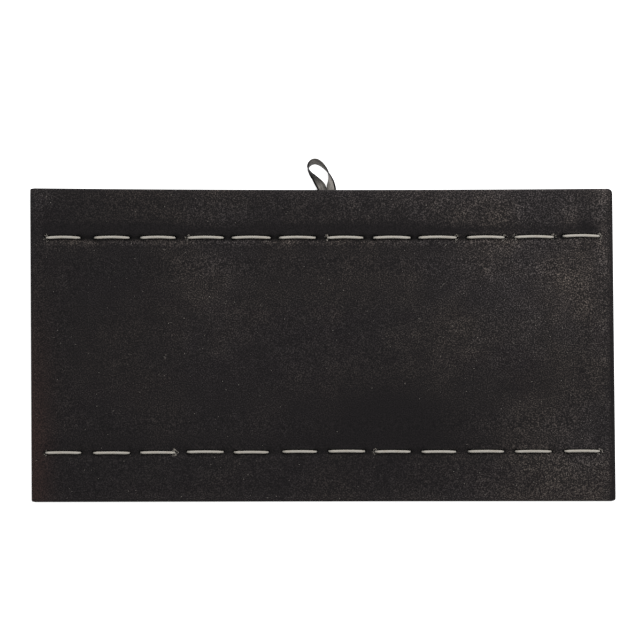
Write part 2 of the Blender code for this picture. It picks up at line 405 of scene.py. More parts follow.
@dataclass(frozen=True)
class Velvet(Finish):
    """Woven cotton velvet, dyed black: a deep matt pile, with the sheen of brushed pile painted on in
    grey.

    It reads three attributes of the piece: nap, how far the pile lies over, which also carries painted
    light and shade; crease, a painted shadow where the elastic presses into the pile; and fade, how
    far the dye has gone brown.

    Attributes:
        deep: The colour between the tufts.
        pile: The colour of a tuft that stands up.
        warm_painted_sheen: The painted sheen on a brushed tuft's tip, in the warmer patches.
        cool_painted_sheen: The same in the cooler ones.
        crease_shadow_colour: The colour of the painted shadow where the elastic presses into the pile.
        faded: The colour of dye that has gone brown.
        grain: The tufts, drawn coarser than a real tuft, which is about 0.15 mm across.
        clump: Tufts that lean together.
        mottle: Small patches that lie one way.
        patch: Broad patches that lie one way.
    """

    name: str = "cotton_velvet_woven_black"
    roughness: float = 0.95
    specular: float = 0.1
    sheen: float = 0.22
    sheen_roughness: float = 0.4
    sheen_colour: str = "#8d8683"
    relief_mm: float = 0.3
    deep: str = "#181718"
    pile: str = "#282526"
    warm_painted_sheen: str = "#a3968c"
    cool_painted_sheen: str = "#9a9190"
    crease_shadow_colour: str = "#060606"
    faded: str = "#412f2b"
    # A tuft is too fine to show at its real size, so the grain is drawn coarser.
    grain: Lumps = Lumps(0.7, 1.0, 0.6)
    clump: Lumps = Lumps(2.8, 2.0, 0.6)
    mottle: Lumps = Lumps(11.0, 4.0, 0.62)
    patch: Lumps = Lumps(48.0, 3.0, 0.55)

    def pattern(self, tree: bpy.types.NodeTree) -> Pattern:
        """Pile grain with a painted sheen on the tufts' ends in soft patches, where the nap lies over.

        Args:
            tree: The material's tree.

        Returns:
            Its colours and its relief.
        """
        place = add_node(tree, "ShaderNodeTexCoord", out="Object")
        noise = {
            label: add_node(tree, "ShaderNodeTexNoise", getattr(self, label).over(place))
            for label in ("grain", "clump", "mottle", "patch")
        }
        stored = {
            label: add_node(tree, "ShaderNodeAttribute", out="Fac", attribute_name=label)
            for label in ("nap", "crease", "fade")
        }
        spans = {
            "patch": ("patch", Span(0.36, 0.66, 0.55)),
            "mottle": ("mottle", Span(0.34, 0.70, 0.4)),
            "sheen_tips": ("grain", Span(0.50, 0.76, 0.05, 1.25)),
            "depth": ("grain", Span(0.30, 0.72)),
            "hue": ("patch", Span(0.40, 0.60)),
        }
        ranged = {
            label: add_node(tree, "ShaderNodeMapRange", span.of(noise[source]))
            for label, (source, span) in spans.items()
        }
        # Painted sheen: where the nap lies over, the tufts' ends are coloured light grey in place of
        # the velvet's sheen.
        lit = stored["nap"]
        for label in ("patch", "mottle", "sheen_tips"):
            lit = add_node(tree, "ShaderNodeMath", {0: lit, 1: ranged[label]}, operation="MULTIPLY")
        sheen_hues = {0: ranged["hue"], 6: linear(self.cool_painted_sheen), 7: linear(self.warm_painted_sheen)}
        sheen_tips = add_node(tree, "ShaderNodeMix", sheen_hues, out=2, data_type="RGBA")
        browning = {0: stored["fade"], 1: ranged["depth"]}
        browned = add_node(tree, "ShaderNodeMath", browning, operation="MULTIPLY")
        lumpy = {0: noise["grain"], 1: noise["clump"]}
        layers = (
            (ranged["depth"], self.pile),
            (lit, sheen_tips),
            (browned, self.faded),
            # Painted shadow: pile by the strands and round the holes turns near black.
            (stored["crease"], self.crease_shadow_colour),
        )
        return Pattern(self.deep, layers, add_node(tree, "ShaderNodeMath", lumpy, operation="ADD"))


@dataclass(frozen=True)
class CoveredElastic(Finish):
    """Rubber cord in a braided cotton sheath: chalky, warm light grey, with painted shade between the
    yarns.

    Attributes:
        yarn: The yarns' colour on their crests.
        groove: The painted shade between the yarns.
        soil: The colour of handling soil.
        yarns_round: How many yarns cross the cord's round each way.
        braid_pitch_mm: How far along the cord the braid repeats.
        soiling: The soil's blotches.
        soiled_part: The part of their noise that is soiled, and how much soil shows.
    """

    name: str = "elastic_cord_braided_grey"
    roughness: float = 0.75
    specular: float = 0.25
    sheen: float = 0.15
    relief_mm: float = 0.06
    yarn: str = "#d9d4ca"
    groove: str = "#8f8a82"
    soil: str = "#aca396"
    # The real sheath has sixteen yarns or more, too fine to show, so fewer and wider are drawn.
    yarns_round: float = 6.0
    braid_pitch_mm: float = 2.4
    soiling: Lumps = Lumps(3.0, 4.0)
    soiled_part: Span = Span(0.45, 0.75, 0.0, 0.6)

    def pattern(self, tree: bpy.types.NodeTree) -> Pattern:
        """Crossing yarns round the cord, from its own attribute, and a little handling soil.

        Args:
            tree: The material's tree.

        Returns:
            Its colours and its relief.
        """
        route = add_node(tree, "ShaderNodeAttribute", out="Vector", attribute_name="round_and_along")
        x, y, along = add_node(tree, "ShaderNodeSeparateXYZ", {0: route}).node.outputs
        angle = add_node(tree, "ShaderNodeMath", {0: y, 1: x}, operation="ARCTAN2")
        turns = add_node(tree, "ShaderNodeMath", {0: angle, 1: self.yarns_round}, operation="MULTIPLY")
        winding = {0: along, 1: 4 * pi / self.braid_pitch_mm}
        advance = add_node(tree, "ShaderNodeMath", winding, operation="MULTIPLY")
        waves = []
        for way in ("ADD", "SUBTRACT"):
            phase = add_node(tree, "ShaderNodeMath", {0: turns, 1: advance}, operation=way)
            waves.append(add_node(tree, "ShaderNodeMath", {0: phase}, operation="SINE"))
        crossing = add_node(tree, "ShaderNodeMath", {0: waves[0], 1: waves[1]}, operation="MULTIPLY")
        height = add_node(tree, "ShaderNodeMapRange", Span(-1.0, 1.0).of(crossing))
        place = add_node(tree, "ShaderNodeTexCoord", out="Object")
        blotch = add_node(tree, "ShaderNodeTexNoise", self.soiling.over(place))
        soiled = add_node(tree, "ShaderNodeMapRange", self.soiled_part.of(blotch))
        # Painted shade: the colour falls to groove between the yarns' crests, by the same height that
        # raises them.
        return Pattern(self.groove, ((height, self.yarn), (soiled, self.soil)), height)


@dataclass(frozen=True)
class SatinRibbon(Finish):
    """Woven satin ribbon, black, with a painted reflection in grey streaks along its warp and painted
    shade where the loop turns edge-on.

    Attributes:
        bright: The painted reflection of a thread that mirrors the light.
        dull: The colour of one that doesn't.
        selvedge: The colour the ribbon darkens to at its edges.
        selvedge_mm: How far from its middle line the ribbon starts to darken, and is dark.
        inner_gloss: How far its painted lustre hides the selvedge on the inner side of the loop.
        warp_mm: The width of a streak.
        streak_length_mm: The length of a streak.
        streaks: The part of the streaks' noise that shows, and how dull the dullest is.
    """

    name: str = "satin_ribbon_woven_black"
    roughness: float = 0.5
    specular: float = 0.08
    relief_mm: float = 0.05
    relief_strength: float = 0.6
    bright: str = "#b3aea7"
    dull: str = "#1d1b1d"
    selvedge: str = "#0c0b0b"
    selvedge_mm: tuple[float, float] = (1.6, 1.95)
    inner_gloss: float = 0.9
    # A warp thread is about 0.1 mm wide, too fine to show, so the streaks are drawn wider.
    warp_mm: float = 0.35
    streak_length_mm: float = 5.0
    streaks: Span = Span(0.34, 0.64, 0.3)

    def pattern(self, tree: bpy.types.NodeTree) -> Pattern:
        """Streaks along the warp and dark selvedges, from across_and_along, with its painted lustre.

        Args:
            tree: The material's tree.

        Returns:
            Its colours and its relief.
        """
        weave = add_node(tree, "ShaderNodeAttribute", out="Vector", attribute_name="across_and_along")
        # Painted lustre: how much painted reflection each station shows, from light grey where the
        # ribbon faces the light to near black where it turns edge-on.
        lustre = add_node(tree, "ShaderNodeAttribute", out="Fac", attribute_name="lustre")
        drawn_out = {"Vector": weave, "Scale": (1 / self.warp_mm, 1 / self.streak_length_mm, 1.0)}
        stretched = add_node(tree, "ShaderNodeMapping", drawn_out)
        threads = {"Vector": stretched, "Scale": 1.0, "Detail": 3.0, "Roughness": 0.55}
        streak = add_node(tree, "ShaderNodeTexNoise", threads)
        contrast = add_node(tree, "ShaderNodeMapRange", self.streaks.of(streak))
        across = add_node(tree, "ShaderNodeSeparateXYZ", {0: weave}, out="X")
        from_middle = add_node(tree, "ShaderNodeMath", {0: across}, operation="ABSOLUTE")
        edge = add_node(
            tree,
            "ShaderNodeMapRange",
            Span(*self.selvedge_mm).of(from_middle),
            interpolation_type="SMOOTHSTEP",
        )
        glint = add_node(tree, "ShaderNodeMath", {0: contrast, 1: lustre}, operation="MULTIPLY")
        inner = add_node(tree, "ShaderNodeMath", {0: across, 1: 0.0}, operation="GREATER_THAN")
        lit_inner = add_node(tree, "ShaderNodeMath", {0: inner, 1: lustre}, operation="MULTIPLY")
        dimming = {0: lit_inner, 1: -self.inner_gloss, 2: 1.0}
        kept = add_node(tree, "ShaderNodeMath", dimming, operation="MULTIPLY_ADD")
        rim = add_node(tree, "ShaderNodeMath", {0: edge, 1: kept}, operation="MULTIPLY")
        return Pattern(self.dull, ((glint, self.bright), (rim, self.selvedge)), streak)


@dataclass(frozen=True)
class Speckled(Finish):
    """A plain stock whose surface is a mix of two tones with a fine relief.

    Attributes:
        low: The darker tone.
        high: The lighter tone.
        speck_mm: The size of its specks.
        patch_mm: The size of its broad patches.
        patch_share: How much the patches count beside the specks.
        tones: The part of their sum that runs from the darker to the lighter tone.
        squash: How much shorter the specks are across the sheet than along it.
    """

    low: str = "#000000"
    high: str = "#ffffff"
    speck_mm: float = 0.5
    patch_mm: float = 20.0
    patch_share: float = 0.3
    tones: Span = Span(0.42, 0.88)
    squash: float = 1.0

    def pattern(self, tree: bpy.types.NodeTree) -> Pattern:
        """Specks over broad, faint patches, with the specks raised.

        Args:
            tree: The material's tree.

        Returns:
            Its colours and its relief.
        """
        place = add_node(tree, "ShaderNodeTexCoord", out="Object")
        shrunk = {"Vector": place, "Scale": (1.0, self.squash, 1.0)}
        laid = add_node(tree, "ShaderNodeMapping", shrunk)
        speck = add_node(tree, "ShaderNodeTexNoise", Lumps(self.speck_mm, 5.0, 0.7).over(laid))
        patch = add_node(tree, "ShaderNodeTexNoise", Lumps(self.patch_mm).over(place))
        summed = {0: patch, 1: self.patch_share, 2: speck}
        both = add_node(tree, "ShaderNodeMath", summed, operation="MULTIPLY_ADD")
        tone = add_node(tree, "ShaderNodeMapRange", self.tones.of(both))
        return Pattern(self.low, ((tone, self.high),), speck)


# Black paper-faced card: an even, faintly leathery face, dull, with rubbed grey high spots.
BACKING_CARD = Speckled(
    name="paper_faced_card_embossed_black",
    roughness=0.72,
    specular=0.3,
    low="#100f10",
    high="#2b2a2b",
    speck_mm=1.1,
    patch_mm=35.0,
    relief_mm=0.12,
)
# Recycled greyboard: pulped, with darker and lighter fibres that lie along the sheet.
GREYBOARD = Speckled(
    name="greyboard_pulped_raw",
    roughness=0.9,
    specular=0.2,
    low="#7d766b",
    high="#a89f91",
    speck_mm=0.8,
    patch_mm=12.0,
    relief_mm=0.05,
    squash=3.0,
)
# Polyethylene foam sheet: fine closed cells that read as a dull, pitted dark grey.
FOAM = Speckled(
    name="polyethylene_foam_extruded_grey",
    roughness=0.95,
    specular=0.2,
    low="#2e2e2f",
    high="#5a5a5c",
    speck_mm=0.7,
    patch_mm=15.0,
    relief_mm=0.2,
)
# Loose cotton lint and dust: pale, matt and slightly warm against the pile.
LINT = Speckled(
    name="cotton_lint_loose",
    roughness=0.95,
    specular=0.2,
    low="#8f8880",
    high="#c9c3ba",
    speck_mm=0.4,
    patch_mm=40.0,
    relief_mm=0.02,
)


# ------------------------------------------------------------------------------ geometry trees
class NodeGroup:
    """A Geometry Nodes tree with named inputs, and the modifier that runs it on a mesh."""

    def __init__(self, name: str, inputs: dict[str, tuple[str, object]]) -> None:
        """Makes the tree and its sockets.

        Args:
            name: The tree's name.
            inputs: Each input's socket type and starting value, by name.
        """
        self.tree = bpy.data.node_groups.new(name, "GeometryNodeTree")
        sockets = self.tree.interface
        sockets.new_socket("Geometry", in_out="OUTPUT", socket_type="NodeSocketGeometry")
        sockets.new_socket("Geometry", in_out="INPUT", socket_type="NodeSocketGeometry")
        self.identifiers: dict[str, str] = {}
        for label, (kind, value) in {**inputs, "Material": ("NodeSocketMaterial", None)}.items():
            socket = sockets.new_socket(label, in_out="INPUT", socket_type=kind)
            if value is not None:
                socket.default_value = value
            self.identifiers[label] = socket.identifier
        self.given = add_node(self.tree, "NodeGroupInput").node.outputs

    def close(self, geometry: bpy.types.NodeSocket) -> None:
        """Ends the tree in Realize Instances and Set Material.

        Args:
            geometry: What the tree has made.
        """
        real = add_node(self.tree, "GeometryNodeRealizeInstances", {"Geometry": geometry})
        dressing = {"Geometry": real, "Material": self.given["Material"]}
        dressed = add_node(self.tree, "GeometryNodeSetMaterial", dressing)
        add_node(self.tree, "NodeGroupOutput", {"Geometry": dressed}, out=None)

    def run(self, obj: bpy.types.Object, values: dict[str, object]) -> bpy.types.Object:
        """Runs the tree on an object.

        Args:
            obj: The mesh that goes in.
            values: Each input's value, by name.

        Returns:
            The result as a plain mesh object of the same name.
        """
        modifier = obj.modifiers.new("Build", "NODES")
        modifier.node_group = self.tree
        for label, value in values.items():
            modifier[self.identifiers[label]] = value
        return baked(obj)


class BraidedCordTree(NodeGroup):
    """Sweeps a round cord along a line of edges, with yarns that cross in low ridges."""

    def __init__(self) -> None:
        """Builds the tree."""
        super().__init__(
            "braided_cord",
            {
                "Radius": ("NodeSocketFloat", 1.0 * MM),
                "Ring spacing": ("NodeSocketFloat", 0.3 * MM),
                "Sides": ("NodeSocketInt", 24),
                "Yarns round": ("NodeSocketFloat", 6.0),
                "Braid pitch": ("NodeSocketFloat", 2.4 * MM),
                "Ridge height": ("NodeSocketFloat", 0.03 * MM),
                "Waist": ("NodeSocketFloat", 0.75),
                "Thin up to": ("NodeSocketFloat", 7.4 * MM),
                "Full from": ("NodeSocketFloat", 9.6 * MM),
            },
        )
        tree, given = self.tree, self.given
        line = add_node(tree, "GeometryNodeMeshToCurve", {"Mesh": given["Geometry"]})
        spacing = {"Curve": line, "Length": given["Ring spacing"]}
        even = add_node(tree, "GeometryNodeResampleCurve", spacing, mode="LENGTH")
        spine, along = self.kept(even, "Length")
        size = {"Resolution": given["Sides"], "Radius": given["Radius"]}
        profile, around = self.kept(add_node(tree, "GeometryNodeCurvePrimitiveCircle", size), "Factor")
        known = {
            "along": along,
            "around": around,
            "whole": add_node(tree, "GeometryNodeCurveLength", {"Curve": even}),
            "yarns": given["Yarns round"],
            "pitch": given["Braid pitch"],
            "ridge": given["Ridge height"],
        }
        # Each sum: its result's name, the operation, and what it takes, by name or as a number.
        sums = (
            ("from far end", "SUBTRACT", "whole", "along"),
            ("from end", "MINIMUM", "along", "from far end"),
            ("turn", "MULTIPLY", "around", 2 * pi),
            ("yarn turn", "MULTIPLY", "turn", "yarns"),
            ("cycles", "DIVIDE", "along", "pitch"),
            ("advance", "MULTIPLY", "cycles", 4 * pi),
            ("leading", "ADD", "yarn turn", "advance"),
            ("trailing", "SUBTRACT", "yarn turn", "advance"),
            ("right-hand yarns", "SINE", "leading", 0.0),
            ("left-hand yarns", "SINE", "trailing", 0.0),
            ("crossing", "MULTIPLY", "right-hand yarns", "left-hand yarns"),
            ("rise", "MULTIPLY", "crossing", "ridge"),
            ("X", "COSINE", "turn", 0.0),
            ("Y", "SINE", "turn", 0.0),
            ("Z", "MULTIPLY", "along", 1 / MM),
        )
        for name, operation, first, second in sums:
            taken = {0: known[first], 1: known.get(second, second)}
            known[name] = add_node(tree, "ShaderNodeMath", taken, operation=operation)
        stretching = {
            "Value": known["from end"],
            "From Min": given["Thin up to"],
            "From Max": given["Full from"],
            "To Min": given["Waist"],
            "To Max": 1.0,
        }
        stretch = add_node(tree, "ShaderNodeMapRange", stretching, interpolation_type="SMOOTHSTEP")
        sweep = {"Curve": spine, "Profile Curve": profile, "Scale": stretch, "Fill Caps": True}
        swept = add_node(tree, "GeometryNodeCurveToMesh", sweep)
        outwards = {0: add_node(tree, "GeometryNodeInputNormal"), "Scale": known["rise"]}
        offset = add_node(tree, "ShaderNodeVectorMath", outwards, operation="SCALE")
        ridged = add_node(tree, "GeometryNodeSetPosition", {"Geometry": swept, "Offset": offset})
        route = add_node(tree, "ShaderNodeCombineXYZ", {axis: known[axis] for axis in "XYZ"})
        named = add_node(
            tree,
            "GeometryNodeStoreNamedAttribute",
            {"Geometry": ridged, "Name": "round_and_along", "Value": route},
            data_type="FLOAT_VECTOR",
            domain="POINT",
        )
        self.close(add_node(tree, "GeometryNodeSetShadeSmooth", {"Geometry": named}))

    def kept(
        self, geometry: bpy.types.NodeSocket, measure: str
    ) -> tuple[bpy.types.NodeSocket, bpy.types.NodeSocket]:
        """Keeps a measure of a curve for the mesh that is swept from it.

        Args:
            geometry: The curve.
            measure: Factor or Length, of Spline Parameter.

        Returns:
            The curve and the kept measure.
        """
        curve = add_node(self.tree, "GeometryNodeCaptureAttribute", {"Geometry": geometry})
        keeper = curve.node
        keeper.capture_items.new("FLOAT", measure)
        source = add_node(self.tree, "GeometryNodeSplineParameter", out=measure)
        self.tree.links.new(source, keeper.inputs[measure])
        return keeper.outputs["Geometry"], keeper.outputs[measure]


class ScatteredFibreTree(NodeGroup):
    """Strews short curled fibres over a surface, as densely as one of its attributes says.

    Attributes:
        CORNERS: How many corners a fibre's section and its curl have.
        SIZES: The smallest and the largest fibre, beside the length that is asked for.
    """

    CORNERS: int = 4
    SIZES: tuple[float, float] = (0.35, 1.3)

    def __init__(self) -> None:
        """Builds the tree."""
        super().__init__(
            "scattered_fibres",
            {
                "Where": ("NodeSocketString", "nap"),
                "Fibres per square metre": ("NodeSocketFloat", 4000.0),
                "Length": ("NodeSocketFloat", 1.2 * MM),
                "Thickness": ("NodeSocketFloat", 0.08 * MM),
                "Curl": ("NodeSocketFloat", 0.35),
                "Lift": ("NodeSocketFloat", 0.1 * MM),
                "Tilt": ("NodeSocketFloat", 0.35),
                "Seed": ("NodeSocketInt", 3),
            },
        )
        tree, given = self.tree, self.given
        where = {"Name": given["Where"]}
        share = add_node(
            tree, "GeometryNodeInputNamedAttribute", where, out="Attribute", data_type="FLOAT"
        )
        known = {"share": share, "most": given["Fibres per square metre"]}
        known.update({name: given[name] for name in ("Length", "Curl", "Tilt")})
        # Each product: its name, and what it takes, by name or as a number.
        products = (
            ("density", "share", "most"),
            ("half", "Length", 0.5),
            ("bow", "Length", "Curl"),
            ("minus half", "half", -1.0),
            ("minus tilt", "Tilt", -1.0),
        )
        for name, first, second in products:
            taken = {0: known[first], 1: known.get(second, second)}
            known[name] = add_node(tree, "ShaderNodeMath", taken, operation="MULTIPLY")
        strewn = {"Mesh": given["Geometry"], "Density": known["density"], "Seed": given["Seed"]}
        points = add_node(
            tree, "GeometryNodeDistributePointsOnFaces", strewn, distribute_method="RANDOM"
        )
        tilt, minus_tilt = known["Tilt"], known["minus tilt"]
        places = {
            "start": {"X": known["minus half"]},
            "middle": {"Y": known["bow"]},
            "end": {"X": known["half"]},
            "least turn": {"X": minus_tilt, "Y": minus_tilt},
            "most turn": {"X": tilt, "Y": tilt, "Z": 2 * pi},
            "lift": {"Z": given["Lift"]},
        }
        at = {name: add_node(tree, "ShaderNodeCombineXYZ", axes) for name, axes in places.items()}
        bend = {"Start": at["start"], "Middle": at["middle"], "End": at["end"]}
        bend["Resolution"] = self.CORNERS
        curl = add_node(tree, "GeometryNodeCurveQuadraticBezier", bend)
        section = {"Resolution": self.CORNERS, "Radius": given["Thickness"]}
        profile = add_node(tree, "GeometryNodeCurvePrimitiveCircle", section)
        sweep = {"Curve": curl, "Profile Curve": profile, "Fill Caps": True}
        fibre = add_node(tree, "GeometryNodeCurveToMesh", sweep)
        turns = {"Min": at["least turn"], "Max": at["most turn"], "Seed": given["Seed"]}
        turned = add_node(tree, "FunctionNodeRandomValue", turns, data_type="FLOAT_VECTOR")
        sizes = {2: self.SIZES[0], 3: self.SIZES[1], "Seed": given["Seed"]}
        sized = add_node(tree, "FunctionNodeRandomValue", sizes, out=1)
        laid = {"Points": points, "Instance": fibre, "Rotation": turned, "Scale": sized}
        placed = add_node(tree, "GeometryNodeInstanceOnPoints", laid)
        lifted = {"Instances": placed, "Translation": at["lift"], "Local Space": False}
        self.close(add_node(tree, "GeometryNodeTranslateInstances", lifted))


# ------------------------------------------------------------------------------ the laced rows
@dataclass
class Strand:
    """One strand of elastic on the face, as the CAD holds it.

    Attributes:
        node: Its CAD node, and its body.
        radius: The slack cord's radius.
        drawn: How thin the cord is pulled, as a share of that radius.
        sag: How low it lies in its holes.
        bend: The radius of its turn at each hole.
        bend_steps: How many steps that turn takes.
        span_steps: How many steps the part between the turns takes.
    """

    node: str
    radius: float = 1.0 * MM
    drawn: float = 0.79
    sag: float = 0.3 * MM
    bend: float = 1.7 * MM
    bend_steps: int = 9
    span_steps: int = 22

    def __post_init__(self) -> None:
        """Reads where the strand's legs and top are from its CAD node."""
        low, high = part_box(self.node)
        self.left_x = low.x + self.drawn * self.radius
        self.right_x = high.x - self.drawn * self.radius
        self.y = low.y + self.radius - self.sag
        self.bow = high.y - low.y - 2 * self.radius
        self.leg_bottom = low.z
        self.height = high.z - self.radius

    def line_at(self, x: np.ndarray) -> np.ndarray:
        """The Y of the strand's middle line.

        Args:
            x: Places along the strand.

        Returns:
            Y at each place.
        """
        first, last = self.left_x + self.bend, self.right_x - self.bend
        t = np.clip((x - first) / (last - first), 0.0, 1.0)
        return self.y + self.bow * np.sin(pi * t)

    def route(self) -> list[Point]:
        """The middle line, up out of the left hole, across and down into the right one.

        Returns:
            Points from the bottom of one leg to the bottom of the other.
        """
        arc = self.height - self.bend
        first, last = self.left_x + self.bend, self.right_x - self.bend
        turns = [pi / 2 * step / self.bend_steps for step in range(self.bend_steps + 1)]
        up = [(first - self.bend * cos(t), self.y, arc + self.bend * sin(t)) for t in turns]
        down = [(last + self.bend * sin(t), self.y, arc + self.bend * cos(t)) for t in turns]
        xs = np.linspace(first, last, self.span_steps + 1)[1:-1]
        across = [(x, y, self.height) for x, y in zip(xs, self.line_at(xs))]
        legs = (self.left_x, self.y, self.leg_bottom), (self.right_x, self.y, self.leg_bottom)
        return [legs[0], *up, *across, *down, legs[1]]

    def build(self, tree: BraidedCordTree, material: bpy.types.Material) -> bpy.types.Object:
        """Makes the strand's piece and puts it on its body.

        Args:
            tree: The cord's tree.
            material: The elastic.

        Returns:
            The piece.
        """
        points = self.route()
        edges = [(i, i + 1) for i in range(len(points) - 1)]
        obj = mesh_object(f"elastic_{self.node}", points, edges, [])
        piece = tree.run(obj, {"Radius": self.drawn * self.radius, "Material": material})
        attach(piece, self.node)
        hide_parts(self.node)
        return piece


@dataclass
class LacedRow:
    """One row: its strands on the face, and the CAD's links and knots under the board.

    Attributes:
        row: Which row it is.
        shade: How strong the painted shade above the row and the painted light below it are.
        crease_shadow_strength: How dark the painted shadow is where the elastic presses into the pile,
            on both sides of it.
        frayed_holes: The holes whose rims have frayed, counted from the left.
        soft: How far from a hole's middle the gap between two strands has begun.
        strands: The row's strands, from left to right.
    """

    row: Row
    shade: float
    crease_shadow_strength: float
    frayed_holes: tuple[int, ...]
    soft: float = 0.8 * MM
    strands: list[Strand] = field(init=False)

    def __post_init__(self) -> None:
        """Finds the row's strands, from left to right."""
        names = sorted(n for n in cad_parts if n.startswith(f"{self.row.value}_strand"))
        self.strands = [Strand(name) for name in names]

    @property
    def holes(self) -> list[Point]:
        """Finds the punched holes.

        Returns:
            The middle of each hole, from left to right.
        """
        return [
            (x, strand.y, strand.height)
            for strand in self.strands
            for x in (strand.left_x, strand.right_x)
        ]

    @property
    def level(self) -> float:
        """The row's mean Y."""
        return sum(strand.y for strand in self.strands) / len(self.strands)

    def line_at(self, x: np.ndarray) -> np.ndarray:
        """The Y of the whole row's line, straight between its strands.

        Args:
            x: Places along the row.

        Returns:
            Y at each place.
        """
        line = np.interp(x, *zip(*[(h[0], h[1]) for h in self.holes]))
        for strand in self.strands:
            inside = (x > strand.left_x) & (x < strand.right_x)
            line[inside] = strand.line_at(x[inside])
        return line

    def on_strand(self, x: np.ndarray) -> np.ndarray:
        """How far each place is under a strand and not in a gap.

        Args:
            x: Places along the row.

        Returns:
            1 under a strand, 0 in a gap, and between the two at a hole.
        """
        share = np.zeros_like(x)
        for strand in self.strands:
            begun = smoothstep(strand.left_x - self.soft, strand.left_x + self.soft, x)
            ended = smoothstep(strand.right_x - self.soft, strand.right_x + self.soft, x)
            share = np.maximum(share, begun * (1 - ended))
        return share

    def build(self, tree: BraidedCordTree, material: bpy.types.Material) -> None:
        """Makes the strands and dresses the links and knots.

        Args:
            tree: The cord's tree.
            material: The elastic.
        """
        for strand in self.strands:
            piece = strand.build(tree, material)
            LOG.info("%s: %d faces", piece.name, len(piece.data.polygons))
        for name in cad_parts:
            if name.startswith((f"{self.row.value}_link", f"{self.row.value}_knot")):
                redress(name, material)


# ------------------------------------------------------------------------------ the padding
@dataclass
class FoamCrown:
    """The soft swell of the cover over its foam, held down where the elastic is laced.

    Attributes:
        half_width: Half the face's width, inside its rolled edges.
        half_depth: Half the face's depth.
        rows: The laced rows that hold it down.
        height: How far the middle of a panel stands above the rows.
        cap: How hard the swelling is capped.
        cell: The spacing of the simulated cloth.
        pressure: What blows the cloth up.
        quality: How many steps each of its frames takes.
        frames: How long the simulation runs.
        relax_rounds: How long the quick stand-in runs.
        least_rise: The least swelling that counts as one.
    """

    half_width: float
    half_depth: float
    rows: list[LacedRow]
    height: float = 1.5 * MM
    cap: float = 1.6
    cell: float = 4.6 * MM
    pressure: float = 4.0
    quality: int = 5
    frames: int = 20
    relax_rounds: int = 400
    least_rise: float = 1e-6

    def __post_init__(self) -> None:
        """Lays out the cloth's points."""
        columns = round(2 * self.half_width / self.cell) + 1
        lines = round(2 * self.half_depth / self.cell) + 1
        self.xs = np.linspace(-self.half_width, self.half_width, columns)
        self.ys = np.linspace(-self.half_depth, self.half_depth, lines)

    def held(self) -> np.ndarray:
        """Which points are held down.

        Returns:
            True along the border and along each row, as lines by columns.
        """
        x, y = np.meshgrid(self.xs, self.ys)
        pinned = (np.abs(x) > self.half_width - CLOSE) | (np.abs(y) > self.half_depth - CLOSE)
        for row in self.rows:
            line = row.line_at(x.ravel()).reshape(x.shape)
            pinned |= np.abs(y - line) < self.cell / 2
        return pinned

    def simulate(self) -> np.ndarray:
        """Blows the cloth up over the foam.

        Returns:
            Its height above the rows, as lines by columns.
        """
        lines, columns = len(self.ys), len(self.xs)
        points = [(x, y, 0.0) for y in self.ys for x in self.xs]
        cloth = mesh_object("cover_cloth", points, [], grid_faces(columns, lines))
        group = cloth.vertex_groups.new(name="held")
        group.add([int(i) for i in np.flatnonzero(self.held().ravel())], 1.0, "REPLACE")
        modifier = cloth.modifiers.new("Cloth", "CLOTH")
        settings = modifier.settings
        settings.vertex_group_mass = "held"
        settings.use_pressure = True
        settings.uniform_pressure_force = self.pressure
        settings.effector_weights.gravity = 0.0
        settings.quality = self.quality
        modifier.point_cache.frame_start = 1
        modifier.point_cache.frame_end = self.frames
        scene = bpy.context.scene
        for number in range(1, self.frames + 1):
            scene.frame_set(number)
        graph = bpy.context.evaluated_depsgraph_get()
        mesh = cloth.evaluated_get(graph).to_mesh()
        heights = np.array([v.co.z for v in mesh.vertices]).reshape(lines, columns)
        cloth.evaluated_get(graph).to_mesh_clear()
        scene.frame_set(1)
        data = cloth.data
        bpy.data.objects.remove(cloth)
        bpy.data.meshes.remove(data)
        return heights

    def relaxed(self) -> np.ndarray:
        """A quick stand-in for the simulation: a stretched skin under an even lift.

        Returns:
            Its height above the rows, as lines by columns.
        """
        height = np.zeros((len(self.ys), len(self.xs)))
        free = ~self.held()
        for _ in range(self.relax_rounds):
            beside = np.roll(height, 1, 0) + np.roll(height, -1, 0)
            mean = (beside + np.roll(height, 1, 1) + np.roll(height, -1, 1)) / 4
            height = np.where(free, mean + 1.0, 0.0)
        return height

    def heights(self) -> np.ndarray:
        """The crown's heights, capped where the foam stops swelling.

        Returns:
            Height above the rows in metres, as lines by columns.
        """
        raw = np.maximum(self.simulate(), 0.0)
        LOG.info("foam crown: %.2f mm before the cap", raw.max() / MM)
        if raw.max() < self.least_rise:
            raw = self.relaxed()
        return self.height * np.tanh(self.cap * raw / raw.max()) / np.tanh(self.cap)

    def sampled(self, heights: np.ndarray, x: np.ndarray, y: np.ndarray) -> np.ndarray:
        """Reads the crown between its points.

        Args:
            heights: The crown's own heights.
            x: X of each place.
            y: Y of each place.

        Returns:
            The height at each place.
        """
        u = np.clip((x + self.half_width) / (2 * self.half_width), 0, 1) * (len(self.xs) - 1)
        v = np.clip((y + self.half_depth) / (2 * self.half_depth), 0, 1) * (len(self.ys) - 1)
        i = np.minimum(u.astype(int), len(self.xs) - 2)
        j = np.minimum(v.astype(int), len(self.ys) - 2)
        a, b = u - i, v - j
        a, b = a * a * (3 - 2 * a), b * b * (3 - 2 * b)
        low = heights[j, i] * (1 - a) + heights[j, i + 1] * a
        high = heights[j + 1, i] * (1 - a) + heights[j + 1, i + 1] * a
        return low * (1 - b) + high * b


